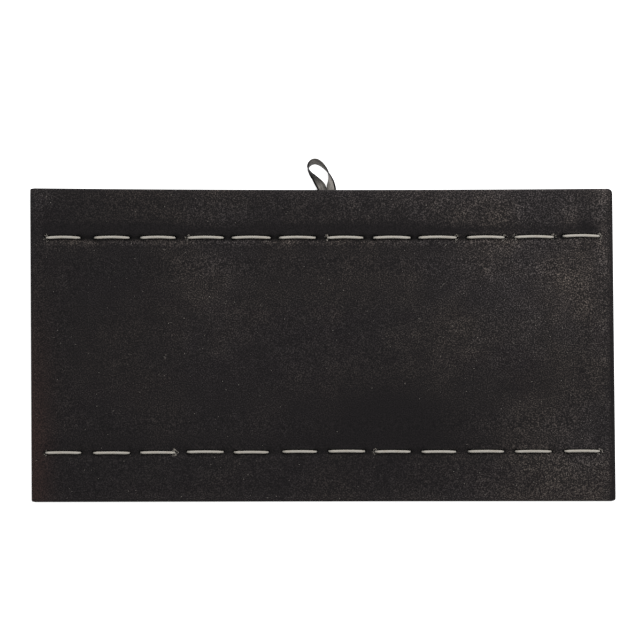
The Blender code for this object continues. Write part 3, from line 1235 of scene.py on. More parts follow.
@dataclass(frozen=True)
class BrushMark:
    """A soft patch where a hand has brushed the pile over, or smoothed it back.

    Attributes:
        x_mm: The X of its middle.
        y_mm: The Y of its middle.
        width_mm: How far it reaches along X.
        depth_mm: How far it reaches along Y.
        strength: How far the pile lies over at its middle, and less than 0 where it stands up.
    """

    x_mm: float
    y_mm: float
    width_mm: float
    depth_mm: float
    strength: float

    def at(self, x: np.ndarray, y: np.ndarray) -> np.ndarray:
        """How far the pile lies over at each place.

        Args:
            x: X of each place.
            y: Y of each place.

        Returns:
            The mark's share of the nap.
        """
        u = (x / MM - self.x_mm) / self.width_mm
        v = (y / MM - self.y_mm) / self.depth_mm
        return self.strength * np.exp(-(u**2) - v**2)


@dataclass(frozen=True)
class PileLie:
    """How the pile lies over the whole face: 0 stands up and looks black, 1 lies flat and takes the
    most painted sheen.

    Attributes:
        everywhere: The least that it lies over.
        to_middle: How much lighter it is drawn from the left side to the middle.
        middle_rise: Where the first of these starts and ends, as shares of half the width.
        to_right: How much lighter again it is drawn from there to the right side.
        right_rise: Where that starts and ends.
        right_painted_light: The painted light band inside the right side, where its rounded edge faces
            the key light.
        light_rise: Where it sets in up the pad, as shares of half the depth.
        right_dark: The dark band beside it.
        dark_rise: Where that sets in up the pad.
        right_edge: How much darker it is drawn right at that side.
        right_edge_zone: From where to where, inwards, that fades.
        border: The lighter band just inside the border, partly edge wear and partly painted light
            where the rolled edge catches it.
        painted_shade_above_row: Painted shade above a row, on the slope of its valley that faces away
            from the key light.
        painted_light_below_row: Painted light below a row, on the slope of its valley that faces the
            key light.
        row_end: How far beyond its last hole a row still counts.
        painted_shadow_above_strand: The painted shadow in the pile just above a strand, where the
            elastic presses into it.
        painted_shadow_below_strand: The same below it.
        gap: The same painted shadow between two strands.
        hole: The same painted shadow round a hole.
        fray: The rim of a hole that has frayed.
        fray_side: From where to where, outwards from the hole, the fray sets in.
        on_walls: How much of the nap the walls and the flaps keep.
        fade_side: Where the brown of the left side sets in, as shares of half the width.
        fade_down: Where it sets in down the pad, as shares of half the depth.
    """

    everywhere: float = 0.12
    to_middle: float = 0.04
    middle_rise: Stretch = (-0.7, 0.1)
    to_right: float = 0.25
    right_rise: Stretch = (0.1, 0.9)
    right_painted_light: Band = Band(7.5 * MM, 3.0 * MM, 0.32)
    light_rise: Stretch = (-0.2, 0.9)
    right_dark: Band = Band(17 * MM, 4.0 * MM, -0.22)
    dark_rise: Stretch = (0.5, 0.8)
    right_edge: float = 0.5
    right_edge_zone: Stretch = (1.0 * MM, 4.5 * MM)
    border: Band = Band(2.5 * MM, 2.0 * MM, 0.1)
    painted_shade_above_row: Band = Band(4.5 * MM, 3.5 * MM, -1.0)
    painted_light_below_row: Band = Band(-2.8 * MM, 1.4 * MM, 1.1)
    row_end: float = 4.0 * MM
    painted_shadow_above_strand: Band = Band(1.2 * MM, 0.6 * MM)
    painted_shadow_below_strand: Band = Band(-1.05 * MM, 0.4 * MM, 0.8)
    gap: Band = Band(0.0, 1.6 * MM, 0.7)
    hole: Band = Band(0.0, 1.7 * MM)
    fray: Band = Band(1.15 * MM, 0.42 * MM)
    fray_side: Stretch = (-0.9 * MM, 0.5 * MM)
    on_walls: float = 0.5
    fade_side: Stretch = (-0.88, -1.02)
    fade_down: Stretch = (0.5, -0.7)


@dataclass
class VelvetCover:
    """The wrapped velvet: face, rolled edges, walls and turned-in flaps, with its punched holes.

    Attributes:
        rows: The laced rows.
        node: The CAD node that the cover stands for.
        roll: The radius of the edge round the face.
        back_roll: The radius of the edge round the back.
        thickness: The cloth's thickness.
        flap: How far the flaps reach in under the board.
        mitre: How high the flaps' fold stands on the diagonal of each corner.
        mitre_start: How far inside the outline that fold begins.
        hole_radius: The radius of a punched hole.
        hole_lip: How far a hole's rim is turned down.
        groove_level: How far above the CAD's face the cloth lies under a strand.
        groove_mm: How far from a strand's middle the cloth starts to rise again, and has risen.
        lip: The swell of the cloth beside a strand.
        dimple: How the cloth dips towards a hole.
        deepest: The deepest that the face dips anywhere.
        edge_fall: How far from its edge the face has reached its full swell.
        lean: How far the sides lean out of square.
        top_pull_mm: How far the top edge is pulled out at its left end, middle and right end.
        bottom_pull_mm: The same for the bottom edge.
        side_zone_mm: How far inside a side the cloth starts to move with it, and moves fully.
        end_zone_mm: The same for the top and the bottom edge.
        row_zone_mm: How far from a row the grid stops following it, from and to.
        pile: How the pile lies.
        brushed: The marks that hands have left in it.
        corner_radii: How round each corner is, seen from above.
        least_corner: The least that a ring's corner is rounded.
        row_offsets_mm: The grid lines beside a row, by how far they are from it.
        edge_offsets_mm: The grid lines beside the top and the bottom edge, in the same way.
        least_line: Lines closer than this become one.
        plain_line: The spacing of the other grid lines.
        roll_steps: How many rings the edge round the face has.
        wall_shares: How far down the wall each of its rings is, as a share.
        back_steps: How many rings the edge round the back has.
        flap_insets_mm: How far in each ring of the flaps is.
        hole_zone: How far from a hole the columns are fine.
        fine_column: The spacing of the columns by the holes.
        coarse_column: The spacing of the other columns.
    """

    rows: list[LacedRow]
    node: str = "velvet_cover"
    roll: float = 2.0 * MM
    back_roll: float = 0.9 * MM
    thickness: float = 1.0 * MM
    flap: float = 17.0 * MM
    mitre: Band = Band(0.0, 0.9 * MM, 0.35 * MM)
    mitre_start: float = 1.5 * MM
    hole_radius: float = 1.16 * MM
    hole_lip: float = 0.9 * MM
    groove_level: float = 0.2 * MM
    groove_mm: tuple[float, float] = (0.6, 1.1)
    lip: Band = Band(1.4 * MM, 0.9 * MM, 0.45 * MM)
    dimple: Band = Band(0.0, 2.1 * MM, 0.9 * MM)
    deepest: float = 0.45 * MM
    edge_fall: float = 7.0 * MM
    lean: float = 0.75 * MM
    top_pull_mm: tuple[float, float, float] = (1.0, 0.0, 0.8)
    bottom_pull_mm: tuple[float, float, float] = (-0.7, -0.3, -0.1)
    side_zone_mm: tuple[float, float] = (9.0, 1.0)
    end_zone_mm: tuple[float, float] = (16.0, 1.0)
    row_zone_mm: tuple[float, float] = (6.0, 18.0)
    pile: PileLie = PileLie()
    brushed: tuple[BrushMark, ...] = (
        BrushMark(-67, 58, 22, 58, 0.22),
        BrushMark(75, 92, 85, 12, 0.30),
        BrushMark(120, 48, 48, 30, 0.28),
        BrushMark(155, -68, 28, 18, 0.20),
        BrushMark(-10, 12, 40, 30, 0.04),
        BrushMark(55, -48, 65, 28, -0.24),
        BrushMark(138, -20, 40, 14, -0.20),
        BrushMark(-172, 90, 6, 6, 0.50),
    )
    corner_radii: dict[Corner, float] = field(
        default_factory=lambda: {
            Corner.TOP_LEFT: 1.2 * MM,
            Corner.TOP_RIGHT: 3.0 * MM,
            Corner.BOTTOM_LEFT: 1.2 * MM,
            Corner.BOTTOM_RIGHT: 1.8 * MM,
        }
    )
    least_corner: float = 0.05 * MM
    row_offsets_mm: tuple[float, ...] = (
        0.0, 0.45, 0.8, 1.05, 1.3, 1.65, 2.1, 2.8, 3.8, 5.2, 7.4, 10.5,
    )
    edge_offsets_mm: tuple[float, ...] = (0, 1.2, 3.0)
    least_line: float = 0.2 * MM
    plain_line: float = 5.0 * MM
    roll_steps: int = 6
    wall_shares: tuple[float, ...] = (0.3, 0.6, 0.85, 1.0)
    back_steps: int = 3
    flap_insets_mm: tuple[float, ...] = (2.0, 3.2, 4.6, 7.0, 11.0)
    hole_zone: float = 2.8 * MM
    fine_column: float = 0.6 * MM
    coarse_column: float = 2.5 * MM

    def __post_init__(self) -> None:
        """Reads the pad's size from its CAD node."""
        low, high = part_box(self.node)
        self.half_width = high.x
        self.half_depth = high.y
        self.bottom, self.top = low.z, high.z
        self.face_half_width = self.half_width - self.roll
        self.face_half_depth = self.half_depth - self.roll

    # -------------------------------------------------------------- grid
    def columns(self) -> np.ndarray:
        """Places the grid's columns, close together by the holes.

        Returns:
            The X of each column.
        """
        holes = np.array(sorted(x for row in self.rows for x, _, _ in row.holes))
        found = [-self.face_half_width]
        while found[-1] < self.face_half_width:
            near = np.abs(holes - found[-1]).min()
            step = self.fine_column if near < self.hole_zone else self.coarse_column
            if near >= self.hole_zone:
                step = min(step, max(near - self.hole_zone, self.fine_column))
            found.append(found[-1] + step)
        share = (np.array(found) + self.face_half_width) / (found[-1] + self.face_half_width)
        return (2 * share - 1) * self.face_half_width

    def lines(self) -> np.ndarray:
        """Places the grid's lines, close together by the rows.

        Returns:
            The Y of each line.
        """
        levels = []
        for row in self.rows:
            levels += [row.level + s * o * MM for o in self.row_offsets_mm for s in (-1, 1)]
        plain = np.arange(-self.face_half_depth, self.face_half_depth, self.plain_line)
        reach = self.row_offsets_mm[-1] * MM + self.plain_line / 2
        clear = [y for y in plain if all(abs(y - row.level) > reach for row in self.rows)]
        edge = [s * (self.face_half_depth - o * MM) for o in self.edge_offsets_mm for s in (-1, 1)]
        found = sorted({round(y, 6) for y in [*levels, *clear, *edge]})
        kept = [found[0]]
        for y in found[1:]:
            if y - kept[-1] > self.least_line:
                kept.append(y)
        return np.array(kept)

    def face_height(self, x: np.ndarray, y: np.ndarray) -> np.ndarray:
        """The face's height: crown, the groove and lips of each strand, and the holes' dimples.

        Args:
            x: X of each place.
            y: Y of each place.

        Returns:
            Z of each place.
        """
        crown = FoamCrown(self.face_half_width, self.face_half_depth, self.rows)
        z = self.top + crown.sampled(crown.heights(), x, y)
        for row in self.rows:
            away = np.abs(y - row.line_at(x))
            under = row.on_strand(x)
            z += self.lip.at(away) * under
            start, end = self.groove_mm
            pressed = under * (1 - smoothstep(start * MM, end * MM, away))
            z = z * (1 - pressed) + (self.top + self.groove_level) * pressed
            for hole_x, hole_y, _ in row.holes:
                z -= self.dimple.at(np.hypot(x - hole_x, y - hole_y))
        return np.maximum(z, self.top - self.deepest)

    def pull(self, x: np.ndarray, y: np.ndarray) -> tuple[np.ndarray, np.ndarray]:
        """How the wrapped cloth pulls the pad's outline out of true, near its edges only.

        Args:
            x: X of each place.
            y: Y of each place.

        Returns:
            How far each place moves in X and in Y.
        """
        side_start, side_end = (self.half_width - reach * MM for reach in self.side_zone_mm)
        end_start, end_end = (self.half_depth - reach * MM for reach in self.end_zone_mm)
        near_side = smoothstep(side_start, side_end, np.abs(x))
        near_end = smoothstep(end_start, end_end, np.abs(y))
        t = x / self.half_width
        top, bottom = (
            middle + (right - left) / 2 * t + ((left + right) / 2 - middle) * t**2
            for left, middle, right in (self.top_pull_mm, self.bottom_pull_mm)
        )
        shift_y = np.where(y > 0, top, bottom) * MM * near_end
        return -self.lean * (y / self.half_depth) * near_side, shift_y

    def outline(self, x: float, y: float, inset: float) -> tuple[float, float]:
        """Moves a point of the face's border to the pad's outline.

        Args:
            x: X on the border.
            y: Y on the border.
            inset: How far inside the pad's widest outline the ring is.

        Returns:
            The point's X and Y on that ring.
        """
        a, b = self.half_width - inset, self.half_depth - inset
        side = Corner((1 if x > 0 else -1, 1 if y > 0 else -1))
        r = max(self.corner_radii[side] - inset, self.least_corner)
        u, v = x / self.face_half_width * a, y / self.face_half_depth * b
        su, sv = side.value
        upright = abs(x) >= self.face_half_width - CLOSE
        level = abs(y) >= self.face_half_depth - CLOSE
        over_u = max(abs(u) - (a - r), 0.0) / r
        over_v = max(abs(v) - (b - r), 0.0) / r
        if upright and over_v > 0:
            turn = over_v * pi / 4
        elif level and over_u > 0:
            turn = pi / 2 - over_u * pi / 4
        else:
            return u, v
        return su * (a - r + r * cos(turn)), sv * (b - r + r * sin(turn))

    def rings(self) -> list[tuple[float, float]]:
        """Places the rings that go from the face's border over the edge and under the board.

        Returns:
            Each ring's inset and its Z.
        """
        roll, back = self.roll, self.back_roll
        high, low = self.top - roll, self.bottom + back
        over = [pi / 2 * step / self.roll_steps for step in range(1, self.roll_steps + 1)]
        under = [pi / 2 * step / self.back_steps for step in range(1, self.back_steps + 1)]
        return [
            *((roll * (1 - sin(turn)), self.top - roll * (1 - cos(turn))) for turn in over),
            *((0.0, high + (low - high) * t) for t in self.wall_shares),
            *((back * (1 - cos(turn)), self.bottom + back * (1 - sin(turn))) for turn in under),
            *((inset * MM, self.bottom) for inset in self.flap_insets_mm),
            (self.flap, self.bottom),
        ]

    def skin(self) -> bpy.types.Object:
        """The outer side of the cover, open at the holes and inside the flaps.

        Returns:
            The unfinished cover.
        """
        xs, levels = self.columns(), self.lines()
        x, y = np.meshgrid(xs, levels)
        for row in self.rows:
            shift = row.line_at(xs) - row.level
            near, far = self.row_zone_mm
            share = 1 - smoothstep(near * MM, far * MM, np.abs(levels - row.level))
            y = y + share[:, None] * shift[None, :]
        z = self.face_height(x.ravel(), y.ravel()).reshape(x.shape)
        from_side = np.abs(np.abs(x) - self.face_half_width)
        from_border = np.minimum(from_side, np.abs(np.abs(y) - self.face_half_depth))
        z = self.top + (z - self.top) * smoothstep(0.0, self.edge_fall, from_border)
        n, m = len(xs), len(levels)
        points = [tuple(map(float, place)) for place in zip(x.ravel(), y.ravel(), z.ravel())]
        faces = grid_faces(n, m)
        border = (
            list(range(n))
            + [j * n + n - 1 for j in range(1, m)]
            + [(m - 1) * n + i for i in range(n - 2, -1, -1)]
            + [j * n for j in range(m - 2, 0, -1)]
        )
        corners = [points[i][:2] for i in border]
        last = border
        for inset, height in self.rings():
            start = len(points)
            for border_x, border_y in corners:
                px, py = self.outline(border_x, border_y, inset)
                points.append((px, py, height + self.fold(px, py, inset, height)))
            ring = list(range(start, start + len(border)))
            for i, corner in enumerate(last):
                j = (i + 1) % len(last)
                faces.append((corner, ring[i], ring[j], last[j]))
            last = ring
        placed = np.array(points)
        shift_x, shift_y = self.pull(placed[:, 0], placed[:, 1])
        placed[:, 0] += shift_x
        placed[:, 1] += shift_y
        return mesh_object(self.node + "_skin", placed, [], faces)

    def fold(self, x: float, y: float, inset: float, height: float) -> float:
        """Folded mitres where the flaps meet under the corners.

        Args:
            x: X of the place.
            y: Y of the place.
            inset: The ring's inset.
            height: The ring's Z.

        Returns:
            How far the place moves up.
        """
        if height > self.bottom + CLOSE or inset < self.mitre_start:
            return 0.0
        return float(self.mitre.at((self.half_width - abs(x)) - (self.half_depth - abs(y))))

    def punch(self, obj: bpy.types.Object) -> None:
        """Opens each hole in the skin and turns its rim down.

        Args:
            obj: The cover's skin.
        """
        bm = bmesh.new()
        bm.from_mesh(obj.data)
        holes = [h for row in self.rows for h in row.holes]
        doomed = []
        for face in bm.faces:
            c = face.calc_center_median()
            if c.z < self.top - self.roll:
                continue
            if any(np.hypot(c.x - hx, c.y - hy) < self.hole_radius for hx, hy, _ in holes):
                doomed.append(face)
        bmesh.ops.delete(bm, geom=doomed, context="FACES")
        rim = [
            e for e in bm.edges
            if e.is_boundary and e.verts[0].co.z > self.top - self.roll
        ]
        for vert in {v for e in rim for v in e.verts}:
            hx, hy, _ = min(holes, key=lambda h: np.hypot(vert.co.x - h[0], vert.co.y - h[1]))
            away = Vector((vert.co.x - hx, vert.co.y - hy)).normalized() * self.hole_radius
            vert.co.x, vert.co.y = hx + away.x, hy + away.y
        turned = bmesh.ops.extrude_edge_only(bm, edges=rim)["geom"]
        for vert in [g for g in turned if isinstance(g, bmesh.types.BMVert)]:
            vert.co.z -= self.hole_lip
        bmesh.ops.recalc_face_normals(bm, faces=bm.faces)
        bm.to_mesh(obj.data)
        bm.free()

    def brush(self, obj: bpy.types.Object) -> None:
        """Stores how the pile lies, brushed over, browned and frayed at a hole, with painted light and
        shade along the rows and inside the right side, and a painted shadow by the strands and round
        the holes.

        Args:
            obj: The cover's skin.
        """
        co = np.array([v.co for v in obj.data.vertices])
        x, y, z = co[:, 0], co[:, 1], co[:, 2]
        u, v = x / self.half_width, y / self.half_depth
        pile = self.pile
        from_right, from_end = self.half_width - x, self.half_depth - np.abs(y)
        edge = np.minimum(self.half_width - np.abs(x), from_end)
        nap = pile.everywhere + pile.to_middle * smoothstep(*pile.middle_rise, u)
        nap += pile.to_right * smoothstep(*pile.right_rise, u)
        nap += sum(mark.at(x, y) for mark in self.brushed)
        # Painted light inside the right side, where the rounded edge faces the key light.
        nap += pile.right_painted_light.at(from_right) * smoothstep(*pile.light_rise, v)
        nap -= pile.right_edge * (1 - smoothstep(*pile.right_edge_zone, from_right))
        nap += pile.right_dark.at(from_right) * smoothstep(*pile.dark_rise, v)
        # Edge wear and painted light just inside the border.
        nap += pile.border.at(edge)
        crease, fray = np.zeros(len(co)), np.zeros(len(co))
        for row in self.rows:
            off = y - row.line_at(x)
            under = row.on_strand(x)
            first, last = row.holes[0][0], row.holes[-1][0]
            inside = smoothstep(first - pile.row_end, first, x) * (
                1 - smoothstep(last, last + pile.row_end, x)
            )
            # Painted shade above each row and painted light below it, as the valley's two slopes face
            # away from and towards the key light.
            nap += row.shade * (pile.painted_shade_above_row.at(off) + pile.painted_light_below_row.at(off)) * inside
            # Painted shadow where the elastic presses into the pile, between the strands and round
            # each hole.
            beside = pile.painted_shadow_above_strand.at(off) + pile.painted_shadow_below_strand.at(off)
            crease += row.crease_shadow_strength * (under * beside + (1 - under) * inside * pile.gap.at(off))
            for number, (hole_x, hole_y, _) in enumerate(row.holes):
                reach = np.hypot(x - hole_x, y - hole_y)
                crease += row.crease_shadow_strength * pile.hole.at(reach)
                if number in row.frayed_holes:
                    outwards = 1 if number % 2 else -1
                    beyond = smoothstep(*pile.fray_side, (x - hole_x) * outwards)
                    fray += beyond * pile.fray.at(reach)
        nap[z < self.top - self.roll] *= pile.on_walls
        fade = smoothstep(*pile.fade_side, u) * smoothstep(*pile.fade_down, v)
        for name, values in {"nap": nap, "crease": crease, "fade": fade, "fray": fray}.items():
            attribute = obj.data.attributes.new(name, "FLOAT", "POINT")
            attribute.data.foreach_set("value", np.clip(values, 0, 1).astype(np.float32))

    def build(self, material: bpy.types.Material) -> bpy.types.Object:
        """Makes the cover.

        Args:
            material: The velvet.

        Returns:
            The piece, on the pad's body.
        """
        skin = self.skin()
        self.punch(skin)
        self.brush(skin)
        skin.data.shade_smooth()
        skin.data.materials.append(material)
        solid = skin.modifiers.new("Cloth thickness", "SOLIDIFY")
        solid.thickness = self.thickness
        solid.offset = -1
        solid.use_rim = True
        skin.name = "velvet_cover_upholstered"
        piece = baked(skin)
        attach(piece, "pad")
        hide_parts(self.node)
        LOG.info("%s: %d faces", piece.name, len(piece.data.polygons))
        return piece


# ------------------------------------------------------------------------------ ribbon
@dataclass
class RibbonLoop:
    """The twisted pull loop and its two glued tails, as one length of ribbon.

    Attributes:
        edge: The Y of the pad's top edge.
        width: The ribbon's width.
        thickness: The ribbon's thickness.
        tail: How long each glued tail is.
        tail_stations: How many stations a tail has.
        tail_height: The Z of the tails' middle.
        steps: How many steps there are from station to station.
        strips: How many strips of faces lie side by side.
        cup: How far the ribbon curls across its width where it is turned up.
        bend_start: How far beyond the edge the ribbon would start to turn with the loop's swing; not
            used.
        bend_end: How far beyond the edge it would turn fully; not used.
        hinge_height: The Z of that bend; not used.
        stations_mm: X, distance beyond the edge, height, turn in degrees and painted lustre, along
            the loop from its right leg to its left one.
    """

    edge: float
    width: float = 5.8 * MM
    thickness: float = 0.28 * MM
    tail: float = 14.5 * MM
    tail_stations: int = 8
    steps: int = 7
    strips: int = 12
    cup: float = 0.75 * MM
    bend_start: float = 1.2 * MM
    bend_end: float = 3.4 * MM
    hinge_height: float = 1.35 * MM
    tail_height: float = 1.14 * MM
    stations_mm: tuple[tuple[float, float, float, float, float], ...] = (
        (5.55, 0.2, 1.2, 2, 1.0),
        (5.45, 1.4, 1.35, 7, 1.0),
        (5.15, 3.3, 1.8, 24, 0.95),
        (4.8, 6.2, 2.6, 54, 0.85),
        (4.35, 8.5, 2.95, 71, 0.5),
        (3.8, 10.4, 3.1, 84, 0.0),
        (2.75, 12.1, 3.15, 97, 0.35),
        (0.65, 14.5, 3.15, 109, 0.6),
        (-1.4, 16.35, 3.1, 116, 0.7),
        (-3.3, 17.4, 3.05, 122, 0.65),
        (-4.75, 17.65, 3.0, 123, 0.7),
        (-6.1, 17.35, 3.0, 121, 0.6),
        (-7.5, 16.35, 3.05, 113, 0.4),
        (-8.5, 14.7, 3.1, 102, 0.1),
        (-8.6, 13.1, 3.1, 87, 0.0),
        (-6.6, 10.0, 3.05, 69, 0.05),
        (-4.6, 7.8, 2.8, 56, 0.25),
        (-2.85, 5.5, 2.3, 37, 0.7),
        (-1.1, 3.0, 1.7, 15, 0.85),
        (-0.35, 1.3, 1.3, 5, 0.7),
        (-0.2, 0.2, 1.2, 2, 0.75),
    )

    def stations(self) -> np.ndarray:
        """The whole length's stations, close together, with a straight tail at each end.

        Returns:
            X, Y, Z in metres, the turn in radians and the painted lustre, one row for each station.
        """
        first, last = self.stations_mm[0], self.stations_mm[-1]
        reach = -self.tail / MM
        places = np.linspace(reach, -1.0, self.tail_stations)
        tail_in = [(first[0], p, self.tail_height / MM, 0.0, first[4]) for p in places]
        tail_out = [(last[0], p, self.tail_height / MM, 0.0, last[4]) for p in places[::-1]]
        knots = np.array([*tail_in, *self.stations_mm, *tail_out], float)
        padded = np.vstack([2 * knots[0] - knots[1], knots, 2 * knots[-1] - knots[-2]])
        found = []
        for a, b, c, d in zip(padded, padded[1:], padded[2:], padded[3:]):
            for step in range(self.steps):
                t = step / self.steps
                found.append(
                    0.5 * (2 * b + (c - a) * t + (2 * a - 5 * b + 4 * c - d) * t**2
                           + (3 * b - 3 * c + d - a) * t**3)
                )
        found.append(knots[-1])
        made = np.array(found)
        made[:, 1] = made[:, 1] * MM + self.edge
        made[:, 0] *= MM
        made[:, 2] *= MM
        made[:, 3] = np.radians(made[:, 3])
        return made

    def build(self, material: bpy.types.Material) -> bpy.types.Object:
        """Makes the ribbon along its stations, turned and cupped as they say.

        Args:
            material: The ribbon's satin.

        Returns:
            The piece.
        """
        stations = self.stations()
        middle = stations[:, :3]
        along = np.gradient(middle, axis=0)
        along /= np.linalg.norm(along, axis=1)[:, None]
        inwards = np.stack([-along[:, 1], along[:, 0], np.zeros(len(along))], 1)
        inwards /= np.linalg.norm(inwards, axis=1)[:, None]
        turn = stations[:, 3][:, None]
        across = np.cos(turn) * inwards + np.sin(turn) * np.array([0.0, 0.0, 1.0])
        across -= along * np.sum(across * along, axis=1)[:, None]
        across /= np.linalg.norm(across, axis=1)[:, None]
        face = np.cross(along, across)
        run = np.concatenate([[0.0], np.cumsum(np.linalg.norm(np.diff(middle, axis=0), axis=1))])
        shares = np.linspace(-0.5, 0.5, self.strips + 1)
        points, weave = [], []
        for i, centre in enumerate(middle):
            curl = self.cup * np.sin(min(1.0, abs(float(turn[i, 0]))))
            for share in shares:
                lift = curl * (4 * share**2 - 0.5)
                points.append(centre + across[i] * share * self.width + face[i] * lift)
                weave.append((share * self.width / MM, run[i] / MM, 0.0))
        n = self.strips + 1
        strip = mesh_object("ribbon_pull_loop", points, [], grid_faces(n, len(middle)))
        attribute = strip.data.attributes.new("across_and_along", "FLOAT_VECTOR", "POINT")
        attribute.data.foreach_set("vector", np.array(weave, np.float32).ravel())
        # Painted lustre: each station's painted reflection and shade, for the material.
        lustre = strip.data.attributes.new("lustre", "FLOAT", "POINT")
        lustre.data.foreach_set("value", np.repeat(stations[:, 4], n).astype(np.float32))
        strip.data.materials.append(material)
        solid = strip.modifiers.new("Ribbon thickness", "SOLIDIFY")
        solid.thickness = self.thickness
        solid.offset = 0
        piece = baked(strip)
        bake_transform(piece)
        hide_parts("ribbon_loop", "ribbon_tail_left", "ribbon_tail_right")
        LOG.info("%s: %d faces", piece.name, len(piece.data.polygons))
        return piece


# ------------------------------------------------------------------------------ lint
@dataclass
class Lint:
    """Loose fibres and dust on the velvet, and the frayed ends by a few holes.

    A real fibre is about 0.02 mm thick, too fine to show, so each kind is drawn thicker.

    Attributes:
        cover: The velvet cover's sizes.
        surface: The finished cover, whose nap and fray say where the fibres lie.
        face_depth: How far below the top the face still counts as the face.
        least_up: How far a face has to look upwards to catch lint.
        fibres_per_m2: How many loose fibres lie on a square metre of brushed pile.
        specks_per_m2: The same for specks of dust.
        frays_per_m2: The same for frayed ends on a fully frayed rim.
    """

    cover: VelvetCover
    surface: bpy.types.Object
    face_depth: float = 0.4 * MM
    least_up: float = 0.5
    fibres_per_m2: float = 2200.0
    specks_per_m2: float = 42000.0
    frays_per_m2: float = 16000000.0

    def top_faces(self) -> bpy.types.Object:
        """Copies the cover's face alone, to scatter on.

        Returns:
            The copy, which the tree uses up.
        """
        copy = bpy.data.objects.new("velvet_lint", self.surface.data.copy())
        bpy.context.scene.collection.objects.link(copy)
        bm = bmesh.new()
        bm.from_mesh(copy.data)
        low = self.cover.top - self.face_depth
        doomed = [
            f for f in bm.faces if f.calc_center_median().z < low or f.normal.z < self.least_up
        ]
        bmesh.ops.delete(bm, geom=doomed, context="FACES")
        bm.to_mesh(copy.data)
        bm.free()
        return copy

    def build(self, tree: ScatteredFibreTree, material: bpy.types.Material) -> None:
        """Strews the fibres and the dust.

        Args:
            tree: The scattering tree.
            material: The lint.
        """
        sorts = {
            "hole_rim_frays": {
                "Where": "fray",
                "Fibres per square metre": self.frays_per_m2,
                "Length": 0.95 * MM,
                "Thickness": 0.07 * MM,
                "Curl": 0.9,
                "Lift": 0.35 * MM,
                "Tilt": 0.6,
                "Seed": 5,
            },
            "velvet_lint_fibres": {
                "Fibres per square metre": self.fibres_per_m2,
                "Length": 1.5 * MM,
                "Thickness": 0.045 * MM,
                "Curl": 0.6,
                "Seed": 11,
            },
            "velvet_dust_specks": {
                "Fibres per square metre": self.specks_per_m2,
                "Length": 0.38 * MM,
                "Thickness": 0.09 * MM,
                "Curl": 0.3,
                "Seed": 23,
            },
        }
        for name, values in sorts.items():
            copy = self.top_faces()
            copy.name = name
            piece = tree.run(copy, {**values, "Material": material})
            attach(piece, "pad")
            LOG.info("%s: %d faces", piece.name, len(piece.data.polygons))


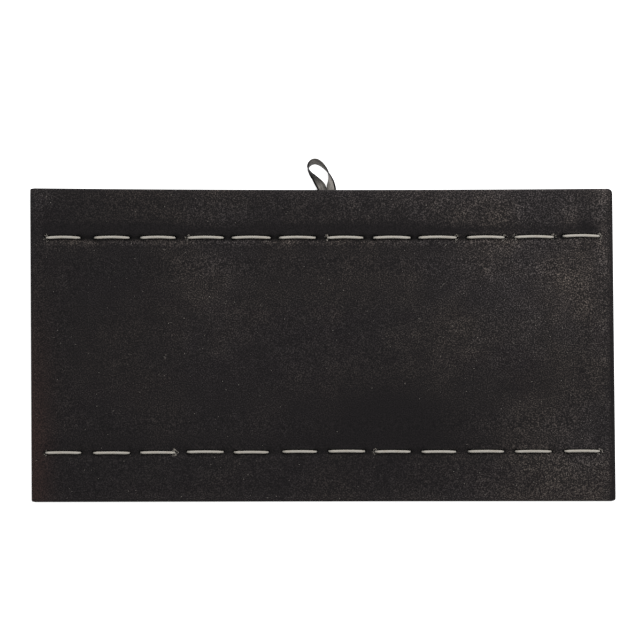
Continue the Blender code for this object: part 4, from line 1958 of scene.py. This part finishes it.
# ------------------------------------------------------------------------------ studio
@dataclass
class Studio:
    """The pale floor, the soft light and the camera straight above the pad.

    Attributes:
        frame_width: How much of the floor the camera takes in.
        aim: The point that the camera looks at.
        lens: The camera's focal length.
        sensor: The width of its sensor.
        pitch: How far it leans from straight above.
        far_clip: How far it sees.
        world_strength: How bright the light from all round is.
        key_watts: How strong the key light is.
        key_at: Where the key light hangs.
        key_size: How wide the key light is.
        floor_half: Half the floor's side.
        floor_drop: How far below the pad the floor lies.
        floor_white: The paper's own colour.
        floor_glow: How strongly the paper is lit through.
    """

    frame_width: float = 390.3 * MM
    aim: Point = (-1.5 * MM, 15.3 * MM, 10.6 * MM)
    lens: float = 150.0
    sensor: float = 36.0
    pitch: float = radians(1.7)
    far_clip: float = 10.0
    world_strength: float = 0.42
    key_watts: float = 14.5
    key_at: Point = (0.45, 0.85, 1.15)
    key_size: float = 0.7
    floor_half: float = 4.0
    floor_drop: float = 0.5 * MM
    floor_white: str = "#f4f4f4"
    floor_glow: float = 0.8

    def build(self) -> None:
        """Sets up the camera, the light and the floor."""
        self.camera()
        self.light()
        self.floor()

    def camera(self) -> None:
        """Hangs the camera above the pad, and sets how light is turned to colour."""
        scene = bpy.context.scene
        scene.view_settings.view_transform = "Standard"
        camera = bpy.data.cameras.new("camera")
        camera.lens = self.lens
        camera.sensor_width = self.sensor
        camera.clip_end = self.far_clip
        distance = self.frame_width * self.lens / self.sensor
        eye = bpy.data.objects.new("camera", camera)
        eye.location = Vector(self.aim) + Vector(
            (0.0, -sin(self.pitch) * distance, cos(self.pitch) * distance)
        )
        eye.rotation_euler = (self.pitch, 0.0, 0.0)
        scene.collection.objects.link(eye)
        scene.camera = eye

    def light(self) -> None:
        """Sets up the light from all round and the key light."""
        scene = bpy.context.scene
        world = bpy.data.worlds.new("studio")
        world.use_nodes = True
        sky = world.node_tree.nodes["Background"].inputs
        sky["Color"].default_value = linear("#ffffff")
        sky["Strength"].default_value = self.world_strength
        scene.world = world
        lamp = bpy.data.lights.new("key", "AREA")
        lamp.shape = "SQUARE"
        lamp.size = self.key_size
        lamp.energy = self.key_watts
        key = bpy.data.objects.new("key", lamp)
        key.location = self.key_at
        key.rotation_euler = (-Vector(self.key_at)).to_track_quat("-Z", "Y").to_euler()
        scene.collection.objects.link(key)

    def floor(self) -> None:
        """Lays white sweep paper, lit through from below so that it stays bright round the pad."""
        span, low = self.floor_half, -self.floor_drop
        corners = [(-span, -span, low), (span, -span, low), (span, span, low), (-span, span, low)]
        floor = mesh_object("floor", corners, [], [(0, 1, 2, 3)], smooth=False)
        paper = bpy.data.materials.new("sweep_paper_white")
        paper.use_nodes = True
        given = {
            "Base Color": linear(self.floor_white),
            "Roughness": 0.9,
            "Specular IOR Level": 0.1,
            "Emission Color": linear("#ffffff"),
            "Emission Strength": self.floor_glow,
        }
        for name, value in given.items():
            paper.node_tree.nodes["Principled BSDF"].inputs[name].default_value = value
        floor.data.materials.append(paper)


# ------------------------------------------------------------------------------ core
@dataclass
class PadCore:
    """The board, the foam and the backing card, whose CAD shapes are right as they are."""

    def build(self) -> None:
        """Dresses the three layers."""
        layers = {"base_board": GREYBOARD, "foam_sheet": FOAM, "backing_card": BACKING_CARD}
        for name, finish in layers.items():
            redress(name, finish.material())


def main() -> None:
    """Builds the pad's pieces in order and reports each one."""
    logging.basicConfig(level=logging.INFO, format="%(name)s: %(message)s")
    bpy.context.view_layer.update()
    Studio().build()
    PadCore().build()
    elastic = CoveredElastic().material()
    cords = BraidedCordTree()
    rows = [
        LacedRow(Row.TOP, shade=0.4, crease_shadow_strength=0.85, frayed_holes=(0, 6, 12, 17, 19, 20, 21, 23)),
        LacedRow(Row.BOTTOM, shade=0.07, crease_shadow_strength=0.45, frayed_holes=(0, 5, 14, 23)),
    ]
    for row in rows:
        row.build(cords, elastic)
    cover = VelvetCover(rows)
    velvet = cover.build(Velvet().material())
    Lint(cover, velvet).build(ScatteredFibreTree(), LINT.material())
    RibbonLoop(cover.half_depth).build(SatinRibbon().material())


if __name__ == "__main__":
    main()
